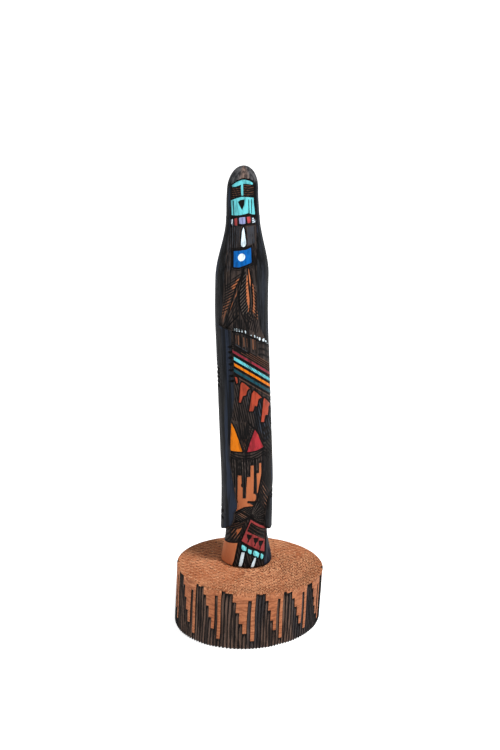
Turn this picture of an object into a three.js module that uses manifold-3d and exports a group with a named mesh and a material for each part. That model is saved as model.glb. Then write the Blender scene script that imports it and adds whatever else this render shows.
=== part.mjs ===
// Carved kachina doll: a one-piece figure standing on a thick fluted wooden disc.
// Millimetres, +Z up, the figure faces -Y, origin under the middle of the whole object.
import * as THREE from 'three';
import { mergeVertices } from 'three/addons/utils/BufferGeometryUtils.js';
import Module from 'manifold-3d';

const wasm = await Module();
wasm.setup();

// Disc
const BASE_RADIUS = 45;
const BASE_HEIGHT = 36.2;
const BASE_SIDES = 45;
const BASE_LEAN = 4.86;
const TOP_FALL_RIGHT = 3.9;
const TOP_FALL_BACK = 2.5;
const RIM_BEVEL = 0.8;

// Burned flutes round the disc: a stepped block of flutes, repeated.
// Each block stands a few degrees off its even place.
const UNIT_DRIFT = [0, -1.9, -2.3, -4.7, -3.5, -2, -1, 0, 0, -1, -2, -3.5, -4.7, -2.6, -2.9];
const FIRST_UNIT_TURN = 4.2;
const FLUTE_TOPS = [0.97, 0.95, 0.95, 0.83, 0.66, 0.48, 0.3, 0.87, 0.15];
const FLUTE_DEPTH = 0.9;
const FLUTE_GAP = 0.4;

// Figure: a round stick that leans and sways a little, narrow at the head.
// Its heights are counted from the underside of a disc of the drawn height, and the disc's own height lifts it.
const DRAWN_BASE_HEIGHT = 36.2;
const FIGURE_LIFT = BASE_HEIGHT - DRAWN_BASE_HEIGHT;
const FIGURE_TOP = 284.4;
const FIGURE_SETBACK = 6.5;
const FIGURE_SIDES = 22;
const SEAT_GAP = 0.3;
const SEAT_X = 1;
const TRUNK_RADIUS = 15.85;
const NECK_RADIUS = 10;
const JAW_RADIUS = 9.85;
const NECK_Z = 254.5;
const SHOULDER_Z = 218.5;
const HEAD_RADIUS = 9.25;
const DOME_Z = 269;
const DOME_FULLNESS = 2.3;
const DOME_RINGS = [0, 0.35, 0.62, 0.82, 0.94, 0.99];
const HEM_Z = 57;
const HEM_ROUND = 2.2;
const HEM_RINGS = [0, 0.3, 1];
const WAIST_RADIUS = 12.7;
const FOOT_RADIUS = 15.6;
const FOOT_Z = 35;
const FOOT_ROUND = 1.5;
const FOOT_RINGS = [[1, 0], [0.3, 0.3], [0, 1]];
const PANEL_FULL_Z = 90;

// The stick's axis moves this far to the right, from one height to another
const SWAY = [[2.3, FOOT_Z, 100], [3, 185, 262], [1.4, 262, 290]];

// Relief
const PANEL_RECESS = 1.1;
const PANEL_CENTRED = [190, 230];
const LINE_DEPTH = 0.6;
const UNDERCUT = 7;
const RUN_OUT = 2;
const LINE_WIDTH = 0.7;

const smooth = THREE.MathUtils.smoothstep;
const rad = THREE.MathUtils.degToRad;

// Height of the disc's sloping top at a place
function topZ(x, y) {
  return BASE_HEIGHT - Math.tan(rad(TOP_FALL_RIGHT)) * x - Math.tan(rad(TOP_FALL_BACK)) * y;
}

// Closed solid from rings of equal count, each a list of points, with flat fans at both ends
function loft(rings) {
  const count = rings[0].length;
  const points = rings.flat();
  const faces = [];
  for (let r = 0; r < rings.length - 1; r += 1) {
    for (let i = 0; i < count; i += 1) {
      const a = r * count + i;
      const b = r * count + ((i + 1) % count);
      faces.push(a, b, b + count, a, b + count, a + count);
    }
  }
  const last = (rings.length - 1) * count;
  for (let i = 1; i < count - 1; i += 1) {
    faces.push(0, i + 1, i);
    faces.push(last, last + i, last + i + 1);
  }
  return new wasm.Manifold(new wasm.Mesh({
    numProp: 3,
    vertProperties: new Float32Array(points.flatMap((p) => [p.x, p.y, p.z])),
    triVerts: new Uint32Array(faces),
  }));
}

// A three.js geometry as a solid, with its shared vertices merged
function solidOf(geometry) {
  const bare = geometry.clone();
  bare.deleteAttribute('normal');
  bare.deleteAttribute('uv');
  const merged = mergeVertices(bare, 1e-4);
  return new wasm.Manifold(new wasm.Mesh({
    numProp: 3,
    vertProperties: new Float32Array(merged.attributes.position.array),
    triVerts: new Uint32Array(merged.index.array),
  }));
}

function joined(solids) {
  return solids.reduce((all, one) => all.add(one));
}

function meshOf(solid, name, material) {
  const found = solid.getMesh();
  const geometry = new THREE.BufferGeometry();
  geometry.setAttribute('position', new THREE.BufferAttribute(new Float32Array(found.vertProperties), 3));
  geometry.setIndex(new THREE.BufferAttribute(new Uint32Array(found.triVerts), 1));
  geometry.computeVertexNormals();
  const mesh = new THREE.Mesh(geometry, material);
  mesh.name = name;
  return mesh;
}

// Turn round the disc of a place counted in flutes
function turnOf(place) {
  const units = UNIT_DRIFT.length;
  const unit = Math.floor(place / FLUTE_TOPS.length);
  const within = place / FLUTE_TOPS.length - unit;
  const drift = THREE.MathUtils.lerp(UNIT_DRIFT[unit % units], UNIT_DRIFT[(unit + 1) % units], within);
  return rad(FIRST_UNIT_TURN + ((unit + within) * 360) / units + drift);
}

// Disc: a leaning round block with a sloping top and a small bevel round the rim
function discPoint(turn, radius, z) {
  const x = z * Math.tan(rad(BASE_LEAN)) + radius * Math.sin(turn);
  return new THREE.Vector3(x, -radius * Math.cos(turn), z);
}

function discRing(radius, heightAt) {
  const flutes = UNIT_DRIFT.length * FLUTE_TOPS.length;
  return Array.from({ length: BASE_SIDES }, (_, i) => {
    const turn = turnOf(0.5 + (i * flutes) / BASE_SIDES);
    const rim = discPoint(turn, radius, BASE_HEIGHT);
    return discPoint(turn, radius, heightAt(rim.x, rim.y));
  });
}

// One flute: a notch of three corners, from below the disc up to its share of the side's height
function flute(place, share) {
  const turn = turnOf(place + 0.5);
  const half = (turnOf(place + 1) - turnOf(place)) / 2 - FLUTE_GAP / 2 / BASE_RADIUS;
  const outer = BASE_RADIUS + FLUTE_DEPTH;
  const corners = [[-2 * half, outer], [2 * half, outer], [0, BASE_RADIUS - FLUTE_DEPTH]];
  const rim = discPoint(turn, BASE_RADIUS, BASE_HEIGHT);
  const top = share * topZ(rim.x, rim.y);
  return loft([-UNDERCUT, top].map((z) => corners.map(([bend, radius]) => discPoint(turn + bend, radius, z))));
}

function makeBase() {
  const disc = loft([
    discRing(BASE_RADIUS, () => 0),
    discRing(BASE_RADIUS, (x, y) => topZ(x, y) - RIM_BEVEL),
    discRing(BASE_RADIUS - RIM_BEVEL, topZ),
  ]);
  const block = (unit) => FLUTE_TOPS.map((share, k) => flute(unit * FLUTE_TOPS.length + k, share));
  return disc.subtract(joined(UNIT_DRIFT.flatMap((_, unit) => block(unit))));
}

// Figure: where its axis stands and how thick it is at a height
function axisX(z) {
  return SWAY.reduce((x, [move, low, high]) => x + move * smooth(z, low, high), SEAT_X);
}

function outerRadius(z) {
  if (z < HEM_Z + HEM_ROUND) {
    const left = 1 - (z - HEM_Z) / HEM_ROUND;
    return TRUNK_RADIUS - HEM_ROUND * (1 - Math.sqrt(1 - left * left));
  }
  if (z <= NECK_Z) {
    return THREE.MathUtils.lerp(TRUNK_RADIUS, NECK_RADIUS, smooth(z, SHOULDER_Z, NECK_Z));
  }
  const jaw = THREE.MathUtils.lerp(JAW_RADIUS, HEAD_RADIUS, (z - NECK_Z) / (DOME_Z - NECK_Z));
  const share = Math.min((z - DOME_Z) / (FIGURE_TOP - DOME_Z), 1);
  return z < DOME_Z ? jaw : HEAD_RADIUS * Math.sqrt(1 - share ** DOME_FULLNESS);
}

// The front panel lies under the mantle: a circle set back, so that it is deepest at the front
function panelCircle(z) {
  const open = smooth(z, HEM_Z, PANEL_FULL_Z);
  const shift = (PANEL_RECESS / 2) * open;
  const skirt = THREE.MathUtils.lerp(FOOT_RADIUS, WAIST_RADIUS, smooth(z, FOOT_Z, HEM_Z));
  const radius = z < HEM_Z ? skirt : THREE.MathUtils.lerp(WAIST_RADIUS, outerRadius(z) - PANEL_RECESS / 2, open);
  return { radius, x: shift * (1 - smooth(z, ...PANEL_CENTRED)), y: shift };
}

function ring(z, radius, x = 0, y = 0, heightAt = null) {
  return Array.from({ length: FIGURE_SIDES }, (_, i) => {
    const turn = ((i + 0.5) / FIGURE_SIDES) * 2 * Math.PI;
    const px = axisX(z) + x + radius * Math.sin(turn);
    const py = FIGURE_SETBACK + y - radius * Math.cos(turn);
    return new THREE.Vector3(px, py, heightAt ? heightAt(px, py) : z);
  });
}

// Heights of the rings: far apart on the straight trunk, closer where the form bends
const between = (low, high, steps) => Array.from({ length: steps }, (_, i) => low + ((high - low) * i) / steps);
const SKIRT_LEVELS = between(FOOT_Z, HEM_Z, 4);
const HEM_LEVELS = HEM_RINGS.map((share) => HEM_Z + share * HEM_ROUND);
const DOME_LEVELS = DOME_RINGS.map((share) => THREE.MathUtils.lerp(DOME_Z, FIGURE_TOP, share));
const RISE_LEVELS = [...HEM_LEVELS, ...between(HEM_Z, PANEL_FULL_Z, 3).slice(1)];
const BODY_LEVELS = [...RISE_LEVELS, ...between(PANEL_FULL_Z, SHOULDER_Z, 3), ...between(SHOULDER_Z, NECK_Z, 6),
  NECK_Z, ...DOME_LEVELS];
const PANEL_LEVELS = [FOOT_Z - UNDERCUT, ...SKIRT_LEVELS, ...BODY_LEVELS];

function panelRing(z, inset = 0) {
  const circle = panelCircle(z);
  return ring(z, circle.radius - inset, circle.x, circle.y);
}

const whole = (inset) => loft(BODY_LEVELS.map((z) => ring(z, outerRadius(z) - inset)));
const panelCore = (inset) => loft(PANEL_LEVELS.map((z) => panelRing(z, inset)));

// Skirt from the disc's slope up into the mantle, with its lower edge rounded off
function skirtColumn() {
  const seatZ = (x, y) => topZ(x, y) + SEAT_GAP - FIGURE_LIFT;
  const seat = FOOT_RINGS.map(([inset, up]) => ring(FOOT_Z, FOOT_RADIUS - inset * FOOT_ROUND, 0, 0,
    (x, y) => seatZ(x, y) + up * FOOT_ROUND));
  return loft([...seat, ...[...SKIRT_LEVELS.slice(1), ...RISE_LEVELS].map((z) => panelRing(z))]);
}

// Front view: u is measured across from the figure's axis, z is the height
const at = ([u, z]) => new THREE.Vector2(axisX(z) + u, z);

function curve(points, steps) {
  return new THREE.SplineCurve(points.map((p) => new THREE.Vector2(...p))).getPoints(steps).map((p) => [p.x, p.y]);
}

// A cutter with the outline of a shape in the front view, through the front half (or the back half)
function cutter(shape, back = false) {
  const reach = 2 * TRUNK_RADIUS;
  const prism = new THREE.ExtrudeGeometry(shape, { depth: reach, bevelEnabled: false });
  prism.rotateX(Math.PI / 2);
  prism.translate(0, FIGURE_SETBACK + (back ? reach : 0), 0);
  return solidOf(prism);
}

const area = (points) => cutter(new THREE.Shape(points.map(at)));

// The points at one side of an open line, half a width away, mitred at each bend
function beside(points, offset) {
  const last = points.length - 1;
  return points.map((p, i) => {
    const into = new THREE.Vector2().subVectors(points[Math.max(i, 1)], points[Math.max(i, 1) - 1]).normalize();
    const out = new THREE.Vector2().subVectors(points[Math.min(i + 1, last)], points[Math.min(i, last - 1)]);
    const along = out.normalize().add(into).normalize();
    const reach = offset / along.dot(into);
    return new THREE.Vector2(p.x - along.y * reach, p.y + along.x * reach);
  });
}

// A groove along an open line of points
function line(points, width = LINE_WIDTH, back = false) {
  const path = points.map(at);
  return cutter(new THREE.Shape([...beside(path, width / 2), ...beside(path, -width / 2).reverse()]), back);
}

// A groove round a closed outline: one straight bar for each side, a little longer than the side
function frame(points, width = LINE_WIDTH) {
  const path = points.map(at);
  return joined(path.map((p, i) => {
    const next = path[(i + 1) % path.length];
    const along = new THREE.Vector2().subVectors(next, p).setLength(width / 2);
    const ends = [p.clone().sub(along), next.clone().add(along)];
    return cutter(new THREE.Shape([...beside(ends, width / 2), ...beside(ends, -width / 2).reverse()]));
  }));
}

// Face: two sunk eye panels, a mouth wedge, cheek slits and the shadow line under the hood
function faceCuts() {
  const eye = (side) => area([[side * 0.6, 274.4], [side * 7, 272.8], [side * 7, 266.5], [side * 0.6, 268.4]]);
  const brow = curve([[-7.4, 275.6], [-3.5, 277.8], [0, 278.5], [3.6, 278.2], [6.9, 276.6]], 4);
  const slit = (u) => line([[u, 265.4], [u, 257.4]]);
  return [
    eye(-1),
    eye(1),
    area([[-2.6, 265.3], [-0.4, 260.6], [1.1, 266.2]]),
    line(brow, 1.2),
    ...[-5.3, 4.4].map(slit),
  ];
}

// Collar: a row of blocks between two lines, with the gaps cut between them
function collarCuts() {
  const top = [[-7.4, 255.4], [0, 257], [7.9, 255.4]];
  const bottom = top.map(([u, z]) => [u, z - 5.5]);
  const gap = (u) => line([[u, 256.6], [u, 250.8]]);
  return [line(top, 0.9), line(bottom, 0.9), ...[-5.3, -2.9, 1.9, 4.8].map(gap)];
}

// Chest: the drop, the square with its border, and three feathers hanging below it
function chestCuts() {
  const drop = [[0.2, 250.4], [-1.3, 241.4], [-0.5, 239.3], [1.3, 239.2], [2, 241.2]];
  const midrib = [[2.6, 228], [3.8, 216], [5, 206.6], [4, 200]];
  const leftEdge = curve([[1, 227.4], [-0.9, 214.3], [-1.3, 205.5], [3.2, 194.2]], 4);
  const rightEdge = curve([[3.6, 226.5], [6.1, 216.7], [7.9, 205], [8.9, 195.4]], 3);
  const leftMidrib = curve([[0.2, 226.5], [-3.6, 218], [-6, 208], [-10.2, 193]], 3);
  return [
    frame(drop, 0.6),
    frame([[-5.3, 236.7], [-5.2, 227.7], [5.2, 229.9], [4.7, 238.3]], 0.9),
    line(midrib),
    line(leftEdge),
    line(rightEdge),
    line(leftMidrib),
    line([[-3.2, 214], [-6.4, 204.3], [-8.9, 191.5]]),
    line([[-1.8, 198.6], [-8.4, 191.2]]),
  ];
}

// Strung row of beads across the body, with short bars hanging under it
const BEAD_LINE = [[-7, 189.2], [0, 188], [5, 185.2], [10, 181.7], [15.9, 175.5]];
const BAR_PLACES = [-4.4, -2, 0.6, 3.4, 6, 8.8];
const BAR_LENGTH = 5.4;

function beadCuts() {
  const bar = (u) => {
    const drop = 0.028 * u * u + 0.28 * Math.max(u, 0);
    return line([[u, 187.4 - drop], [u, 187.4 - drop - BAR_LENGTH]]);
  };
  return [line(BEAD_LINE, 0.9), ...BAR_PLACES.map(bar)];
}

// Sash: flat slanting grooves, each given by its height on the axis and its width
const SASH_FALL = 0.66;
const SASH_DIP = 0.36;
const SASH_GROOVES = [[177.4, 0.8], [174.6, 0.8], [171.2, 1.5], [167.2, 1.4], [163.8, 1.4], [160, 1.2]];
const SASH_TUCK = 7.2;
const SASH_BENDS = 4;

function sashGroove([z, width]) {
  const points = Array.from({ length: SASH_BENDS }, (_, i) => {
    const u = THREE.MathUtils.lerp(-SASH_TUCK, TRUNK_RADIUS, Math.sin((i / (SASH_BENDS - 1)) * (Math.PI / 2)));
    const depth = TRUNK_RADIUS - Math.sqrt(TRUNK_RADIUS ** 2 - u * u);
    return [u, z - SASH_FALL * u - SASH_DIP * depth];
  });
  points.push([TRUNK_RADIUS + RUN_OUT, points.at(-1)[1] - 2 * RUN_OUT]);
  return line(points, width);
}

// Stepped drops under the sash, each with its own foot, and the plain lines that run on below
const DROP_PLACES = [[-1.6, 157.2, 0.62], [5.6, 151.4, 0.98], [12.2, 145.2, 1]];

function dropCuts() {
  const outline = (u, z, size) => [[0.4, 0], [4.8, -5.2], [2.9, -5.6], [1.8, -10.2], [0.4, -9.8], [-0.6, -13.2],
    [-3, -12.8], [-1, -1.4]].map(([across, down]) => [u + across * Math.min(size + 0.2, 1), z + down * size]);
  const lines = [0.6, 8.6];
  return [
    ...DROP_PLACES.slice(0, 2).map(([u, z, size]) => frame(outline(u, z, size), 0.6)),
    line([[11.2, 145.5], [10.4, 138], [9, 130.4], [11.6, 130]], 0.6),
    ...lines.map((u) => line([[u, 142.5 - 0.7 * u], [u - 0.6, 131 - 0.7 * u]], 0.6)),
  ];
}

// Two wing triangles with a fan of lines between them, over two curved bands
function wingCuts() {
  const focus = [-0.9, 114.6];
  const band = (z) => line(curve([[-9.6, z + 1.2], [-1.4, z], [5, z + 0.6], [11.5, z + 2.6]], 3));
  return [
    frame([[-8.6, 131], [-9.6, 113.2], [-2.4, 113.4]], 0.6),
    frame([[5.7, 126.4], [0.6, 113.4], [10.2, 114.6]], 0.6),
    ...[[-5.6, 130.5], [-2, 131.5], [1.4, 132]].map((tip) => line([tip, focus])),
    line([[1.4, 132], [11.2, 117.6]]),
    band(111.4),
    band(109.2),
  ];
}

// Fringe: bars hanging in steps over the bare wood, each with its place and the height of its end
const FRINGE = [[-9, 98.5], [-7.4, 90.1], [-5.9, 78.6], [-4.2, 97.4], [-2.7, 90], [-1, 82.6], [1.2, 96.8],
  [3.8, 104], [5.4, 85.5], [7.1, 98.7], [8.7, 104.6]];
const FRINGE_TOP = 108;

function fringeCuts() {
  return FRINGE.map(([u, end]) => line([[u, FRINGE_TOP], [u, end]], 0.8));
}

// Folded wing below the fringe: its upper edge, its lower edge and a few barbs
function lowerWingCuts() {
  const upper = curve([[-8, 71.2], [-3, 75.8], [4, 77.1], [6.6, 83], [9.4, 95]], 5);
  const barb = (angle) => line([[1.8, 70], [1.8 + 10.4 * Math.cos(rad(angle)), 70 + 10.4 * Math.sin(rad(angle))]]);
  return [
    line(upper, 0.8),
    line([[-5.5, 73.5], [2, 69.4], [12, 60.3]], 0.8),
    barb(2),
    barb(-20),
    line([[8.9, 82], [13.4, 75.6]]),
  ];
}

// Skirt: a framed panel with ribs and three wedges, a row of blocks, and bars down to the foot
function skirtCuts() {
  const slope = -0.86;
  const slant = (u, z, length) => [[u, z], [u + length, z + slope * length]];
  const wedge = (u, z) => area([[u - 1.3, z + 0.9], [u - 0.3, z - 3.6], [u + 1.3, z - 0.9]]);
  const bar = (u, top) => line([[u, top], [u - 2.3 * (top / 47), FOOT_Z - 2]], 0.8);
  return [
    frame([[2.4, 67.6], [-2.8, 53.7], [11, 44.7], [11.6, 59.6]], 0.6),
    ...[1.6, 4.2].map((drop) => line(slant(2.6 - 0.34 * drop, 66.6 - drop, 8.6), 0.8)),
    ...[[1.7, 57.2], [5.6, 54.4], [9, 51.4]].map(([u, z]) => wedge(u, z)),
    line([[-4.2, 50], [0.2, 47.4], [4, 44.6], [10.6, 40.2]], 0.8),
    ...[[0.4, 51], [3.8, 48.6], [8.1, 45.2]].map(([u, z]) => line([[u, z], [u - 0.9, z - 4]], 0.6)),
    ...[[-3.4, 47.5], [-0.6, 47], [6.4, 42.4]].map(([u, z]) => bar(u, z)),
    line([[-4.4, 54], [-7.3, 41.5], [-8.6, 33]], 0.9),
  ];
}

// Opening of the mantle, clockwise from under the hood; below the hem it takes in the whole front
function mantleOpening() {
  const brow = curve([[-7.3, 275.6], [-3.5, 278.2], [0, 279], [3.6, 278.6], [6.9, 276.6]], 4);
  const right = curve([[7.7, 268], [8, 252], [8.7, 225], [9.2, 201], [11.8, 188.1], [15.6, 176.2]], 5);
  const hip = [[2 * TRUNK_RADIUS, 170], [2 * TRUNK_RADIUS, 84], [14, 80], [12.6, 69], [12.5, 62], [13.8, 59],
    [2 * TRUNK_RADIUS, HEM_Z], [2 * TRUNK_RADIUS, FOOT_Z], [-2 * TRUNK_RADIUS, FOOT_Z],
    [-2 * TRUNK_RADIUS, HEM_Z + 1]];
  const hem = curve([[-15.8, 58.6], [-12.5, 61.6], [-10, 63.6], [-8.8, 68.3], [-6.4, 76]], 5);
  const left = curve([[-7.4, 81.8], [-10.6, 107.1], [-8.8, 131], [-6, 148], [-6.3, 168], [-6.5, 189.5]], 6);
  const shoulder = curve([[-13.7, 190.8], [-12, 201.2], [-10.7, 227.3], [-8.6, 243], [-7.5, 257], [-7.4, 268]], 5);
  return area([...brow, ...right, ...hip, ...hem, ...left, ...shoulder]);
}

// Plain bands that carry the sash and the lower wing round the back
const BACK_LINES = [[166, 157], [162.5, 153], [159, 149], [155.5, 145], [73, 94], [69.5, 81]];

function backCuts() {
  const reach = TRUNK_RADIUS + RUN_OUT;
  return BACK_LINES.map(([left, right]) => line([[-reach, left], [reach, right]], 1, true));
}

function makeFigure() {
  const mantle = whole(0).subtract(mantleOpening().subtract(panelCore(0)));
  const body = mantle.add(skirtColumn());
  const cuts = joined([faceCuts(), collarCuts(), chestCuts(), beadCuts(), SASH_GROOVES.map(sashGroove), dropCuts(),
    wingCuts(), fringeCuts(), lowerWingCuts(), skirtCuts()].flat());
  const carved = body.subtract(cuts.subtract(panelCore(LINE_DEPTH)));
  return carved.subtract(joined(backCuts()).subtract(whole(LINE_DEPTH))).translate([0, 0, FIGURE_LIFT]);
}

const bareWood = new THREE.MeshStandardMaterial({ color: 0xb8754c, roughness: 0.75, metalness: 0 });
const stainedWood = new THREE.MeshStandardMaterial({ color: 0x2b2c33, roughness: 0.6, metalness: 0 });

const part = new THREE.Group();
part.add(meshOf(makeBase(), 'base', bareWood));
part.add(meshOf(makeFigure(), 'figure', stainedWood));

// The origin goes under the middle of the whole object
const box = new THREE.Box3().setFromObject(part);
part.position.x = -(box.min.x + box.max.x) / 2;
part.position.y = -(box.min.y + box.max.y) / 2;
part.updateMatrixWorld(true);

export default part;
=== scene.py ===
import math

import bpy
import numpy as np
from mathutils import Matrix, Vector


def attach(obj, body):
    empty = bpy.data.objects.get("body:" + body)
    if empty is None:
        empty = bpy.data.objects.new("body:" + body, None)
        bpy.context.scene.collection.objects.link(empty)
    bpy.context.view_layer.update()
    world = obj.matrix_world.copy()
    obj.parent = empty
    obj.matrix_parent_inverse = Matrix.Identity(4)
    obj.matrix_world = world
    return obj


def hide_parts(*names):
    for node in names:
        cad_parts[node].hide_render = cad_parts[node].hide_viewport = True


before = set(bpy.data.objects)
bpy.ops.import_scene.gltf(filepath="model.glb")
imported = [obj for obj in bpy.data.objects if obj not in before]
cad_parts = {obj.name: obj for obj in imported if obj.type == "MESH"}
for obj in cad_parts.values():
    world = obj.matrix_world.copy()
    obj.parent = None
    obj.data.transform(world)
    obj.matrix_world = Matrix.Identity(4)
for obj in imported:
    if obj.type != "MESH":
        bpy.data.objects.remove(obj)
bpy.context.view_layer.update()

# Shapes are worked out in millimetres round the disc's own middle, then moved by this much and made metres
SHIFT = np.array([-1.41, -0.03, 0.0])

# Camera: the photograph's view, solved from the outlines of the disc and the figure
CAMERA_AT = np.array([7.17, -1035.5, 530.1])
PITCH = math.radians(19.72)
ROLL = math.radians(2.0)
LENS = 88.94
SENSOR = 36.0

# Disc
BASE_RADIUS = 45.0
BASE_HEIGHT = 36.2
BASE_LEAN = math.tan(math.radians(4.86))
FALL_RIGHT = math.tan(math.radians(3.9))
FALL_BACK = math.tan(math.radians(2.5))
RIM_BEVEL = 0.8
UNIT_DRIFT = np.array([0, -1.9, -2.3, -4.7, -3.5, -2, -1, 0, 0, -1, -2, -3.5, -4.7, -2.6, -2.9])
FIRST_UNIT_TURN = 4.2
FLUTE_TOPS = np.array([1.0, 0.975, 0.985, 0.85, 0.67, 0.48, 0.3, 0.88, 0.15])
FLUTE_DEPTH = 1.0

# Figure
FIGURE_TOP = 284.4
SETBACK = 6.5
TRUNK_RADIUS = 15.85
SHOULDER_Z = 218.5
NECK_Z = 254.5
NECK_RADIUS = 10.0
HEAD_RADIUS = 9.85
HEAD_TAPER = 0.6
DOME_Z = 269.0
DOME_POWER = 2.3
HEM_Z = 57.0
HEM_ROUND = 2.2
SKIRT_TOP_RADIUS = 12.7
FOOT_Z = 35.0
FOOT_RADIUS = 15.6
FOOT_ROUND = 1.5
SEAT_GAP = 0.3
PANEL_RECESS = 1.1
PANEL_FULL_Z = 90.0

# How far the mantle's lip draws in at its first two columns
LIP_DROPS = (0.4, 0.1)

# Height from which the figure's rows are level; the rows below it settle onto the disc's slope
LEVEL_Z = 41.0

# Sideways moves of the stick's axis: its place at the foot, then how far it goes between two heights
AXIS_FOOT = 1.0
AXIS_MOVES = ((2.3, FOOT_Z, 100), (3.0, 185, 262), (1.4, 262, 290))

# How far outside a drawn shape its distance is still worked out
REACH = 4.0

# Turn of lines that run up and down
UPRIGHT = math.pi / 2

# Lights: place in metres, power in watts and size in metres. Then the room's light, and the floor's half size,
# tone and glow
KEY_LIGHT = ((0.93, -0.63, 1.89), 41, 0.45)
FILL_LIGHT = ((-1.1, -1.1, 0.7), 5, 1.2)
LIGHTS_AIM = Vector((0, 0, 0.12))
ROOM_LIGHT = 0.34
FLOOR_HALF = 6.0
FLOOR_TONE = 0.85
FLOOR_GLOW = 0.75


def place_camera():
    """The camera looks along +Y, tipped down by the pitch and rolled a little, from its solved place."""
    right = Vector((1, 0, 0))
    ahead = Vector((0, math.cos(PITCH), -math.sin(PITCH)))
    over = right.cross(ahead)
    across = math.cos(ROLL) * right - math.sin(ROLL) * over
    upward = math.sin(ROLL) * right + math.cos(ROLL) * over
    turn = Matrix((across, upward, -ahead)).transposed().to_4x4()
    data = bpy.data.cameras.new("camera")
    data.sensor_width = SENSOR
    data.sensor_fit = "AUTO"
    data.lens = LENS
    data.clip_end = 20
    camera = bpy.data.objects.new("camera", data)
    bpy.context.scene.collection.objects.link(camera)
    camera.matrix_world = Matrix.Translation(Vector((CAMERA_AT + SHIFT) * 0.001)) @ turn
    bpy.context.scene.camera = camera


place_camera()


def smooth(x, low, high):
    """Smooth step: 0 below low, 1 above high, and 3t² - 2t³ between them, with t the share of the way."""
    t = np.clip((x - low) / (high - low), 0, 1)
    return t * t * (3 - 2 * t)


def rough(a, b, seed, octaves=3):
    """Uneven surface: a few octaves of crossed sine waves with seeded phases, each twice as fine and half as
    high as the one before."""
    phase = np.random.default_rng(seed).uniform(0, 6.28, (octaves, 4))
    total = np.zeros(np.broadcast(a, b).shape)
    for k, (p, q, r, s) in enumerate(phase):
        f = 2.0 ** k
        along = np.sin(f * a + p + 1.7 * np.sin(f * b * 0.7 + q))
        across = np.sin(f * b + r + 1.3 * np.sin(f * a * 0.6 + s))
        total += along * across / f
    return total


def top_z(x, y):
    """Height of the disc's sloping top at a place."""
    return BASE_HEIGHT - FALL_RIGHT * x - FALL_BACK * y


def make_object(name, points, faces, fields, material):
    """Mesh object from points in mm, faces as index lists, and one float attribute for each field."""
    mesh = bpy.data.meshes.new(name)
    mesh.from_pydata((points + SHIFT) * 0.001, [], faces)
    for key, values in fields.items():
        mesh.attributes.new(key, "FLOAT", "POINT").data.foreach_set("value", values.astype(np.float32))
    mesh.shade_smooth()
    mesh.materials.append(material)
    piece = bpy.data.objects.new(name, mesh)
    bpy.context.scene.collection.objects.link(piece)
    return piece


def grid_faces(rows, cols, first=0):
    """Quads between neighbouring rows of a grid whose columns close on themselves."""
    r, c = np.meshgrid(np.arange(rows - 1), np.arange(cols), indexing="ij")
    a = first + r * cols + c
    b = first + r * cols + (c + 1) % cols
    return np.stack([a, b, b + cols, a + cols], -1).reshape(-1, 4).tolist()


# Materials

def shade(red, green, blue):
    """Linear colour from the 0 to 255 values of a paint as it looks."""
    values = [v / 255 for v in (red, green, blue)]
    return tuple(((v + 0.055) / 1.055) ** 2.4 if v > 0.04 else v / 12.92 for v in values) + (1,)


class Wire:
    """A number that comes out of a shader socket; each operator adds one Math node."""

    def __init__(self, board, socket):
        self.board = board
        self.socket = socket

    def sum(self, operation, *values):
        return self.board.add("ShaderNodeMath", {"operation": operation}, *values)

    def __add__(self, other):
        return self.sum("ADD", self, other)

    __radd__ = __add__

    def __sub__(self, other):
        return self.sum("SUBTRACT", self, other)

    def __rsub__(self, other):
        return self.sum("SUBTRACT", other, self)

    def __mul__(self, other):
        return self.sum("MULTIPLY", self, other)

    __rmul__ = __mul__

    def ramp(self, low, high):
        """0 below low and 1 above high, smooth between them."""
        node = {"interpolation_type": "SMOOTHSTEP", "clamp": True}
        return self.board.add("ShaderNodeMapRange", node, self, low, high, 0.0, 1.0)


class Board:
    """One material's node tree."""

    def __init__(self, name):
        self.material = bpy.data.materials.new(name)
        self.material.use_nodes = True
        self.tree = self.material.node_tree
        self.tree.nodes.clear()
        self.place = self.node("ShaderNodeTexCoord", {}).outputs["Object"]

    def node(self, kind, settings, *values, **named):
        made = self.tree.nodes.new(kind)
        for key, value in settings.items():
            setattr(made, key, value)
        for key, value in [*enumerate(values), *named.items()]:
            socket = made.inputs[key if isinstance(key, int) else key.replace("_", " ")]
            value = value.socket if isinstance(value, Wire) else value
            if isinstance(value, bpy.types.NodeSocket):
                self.tree.links.new(value, socket)
            else:
                socket.default_value = value
        return made

    def add(self, kind, settings, *values, **named):
        return Wire(self, self.node(kind, settings, *values, **named).outputs[0])

    def field(self, name):
        """A float attribute of the mesh."""
        return Wire(self, self.node("ShaderNodeAttribute", {"attribute_name": name}).outputs["Fac"])

    def noise(self, scale, stretch=(1, 1, 1), detail=4.0, roughness=0.55):
        """Noise on Object coordinates, stretched by a factor on each axis."""
        bent = self.node("ShaderNodeMapping", {}, self.place, Scale=stretch).outputs[0]
        made = self.node("ShaderNodeTexNoise", {}, Vector=bent, Scale=scale, Detail=detail,
                         Roughness=roughness)
        return Wire(self, made.outputs["Fac"])

    def mix(self, share, first, second):
        """Colour between two colours."""
        made = self.node("ShaderNodeMix", {"data_type": "RGBA", "clamp_factor": True})
        for index, value in ((0, share), (6, first), (7, second)):
            value = value.socket if isinstance(value, Wire) else value
            if isinstance(value, bpy.types.NodeSocket):
                self.tree.links.new(value, made.inputs[index])
            else:
                made.inputs[index].default_value = value
        return made.outputs[2]

    def finish(self, color, roughness, height, distance):
        """Principled surface with a bump from a height."""
        bump = self.node("ShaderNodeBump", {}, Height=height, Distance=distance, Strength=1.0).outputs[0]
        surface = self.node("ShaderNodeBsdfPrincipled", {}, Base_Color=color, Roughness=roughness,
                            Normal=bump)
        surface.inputs["Specular IOR Level"].default_value = 0.09
        self.node("ShaderNodeOutputMaterial", {}, Surface=surface.outputs[0])
        return self.material


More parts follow.
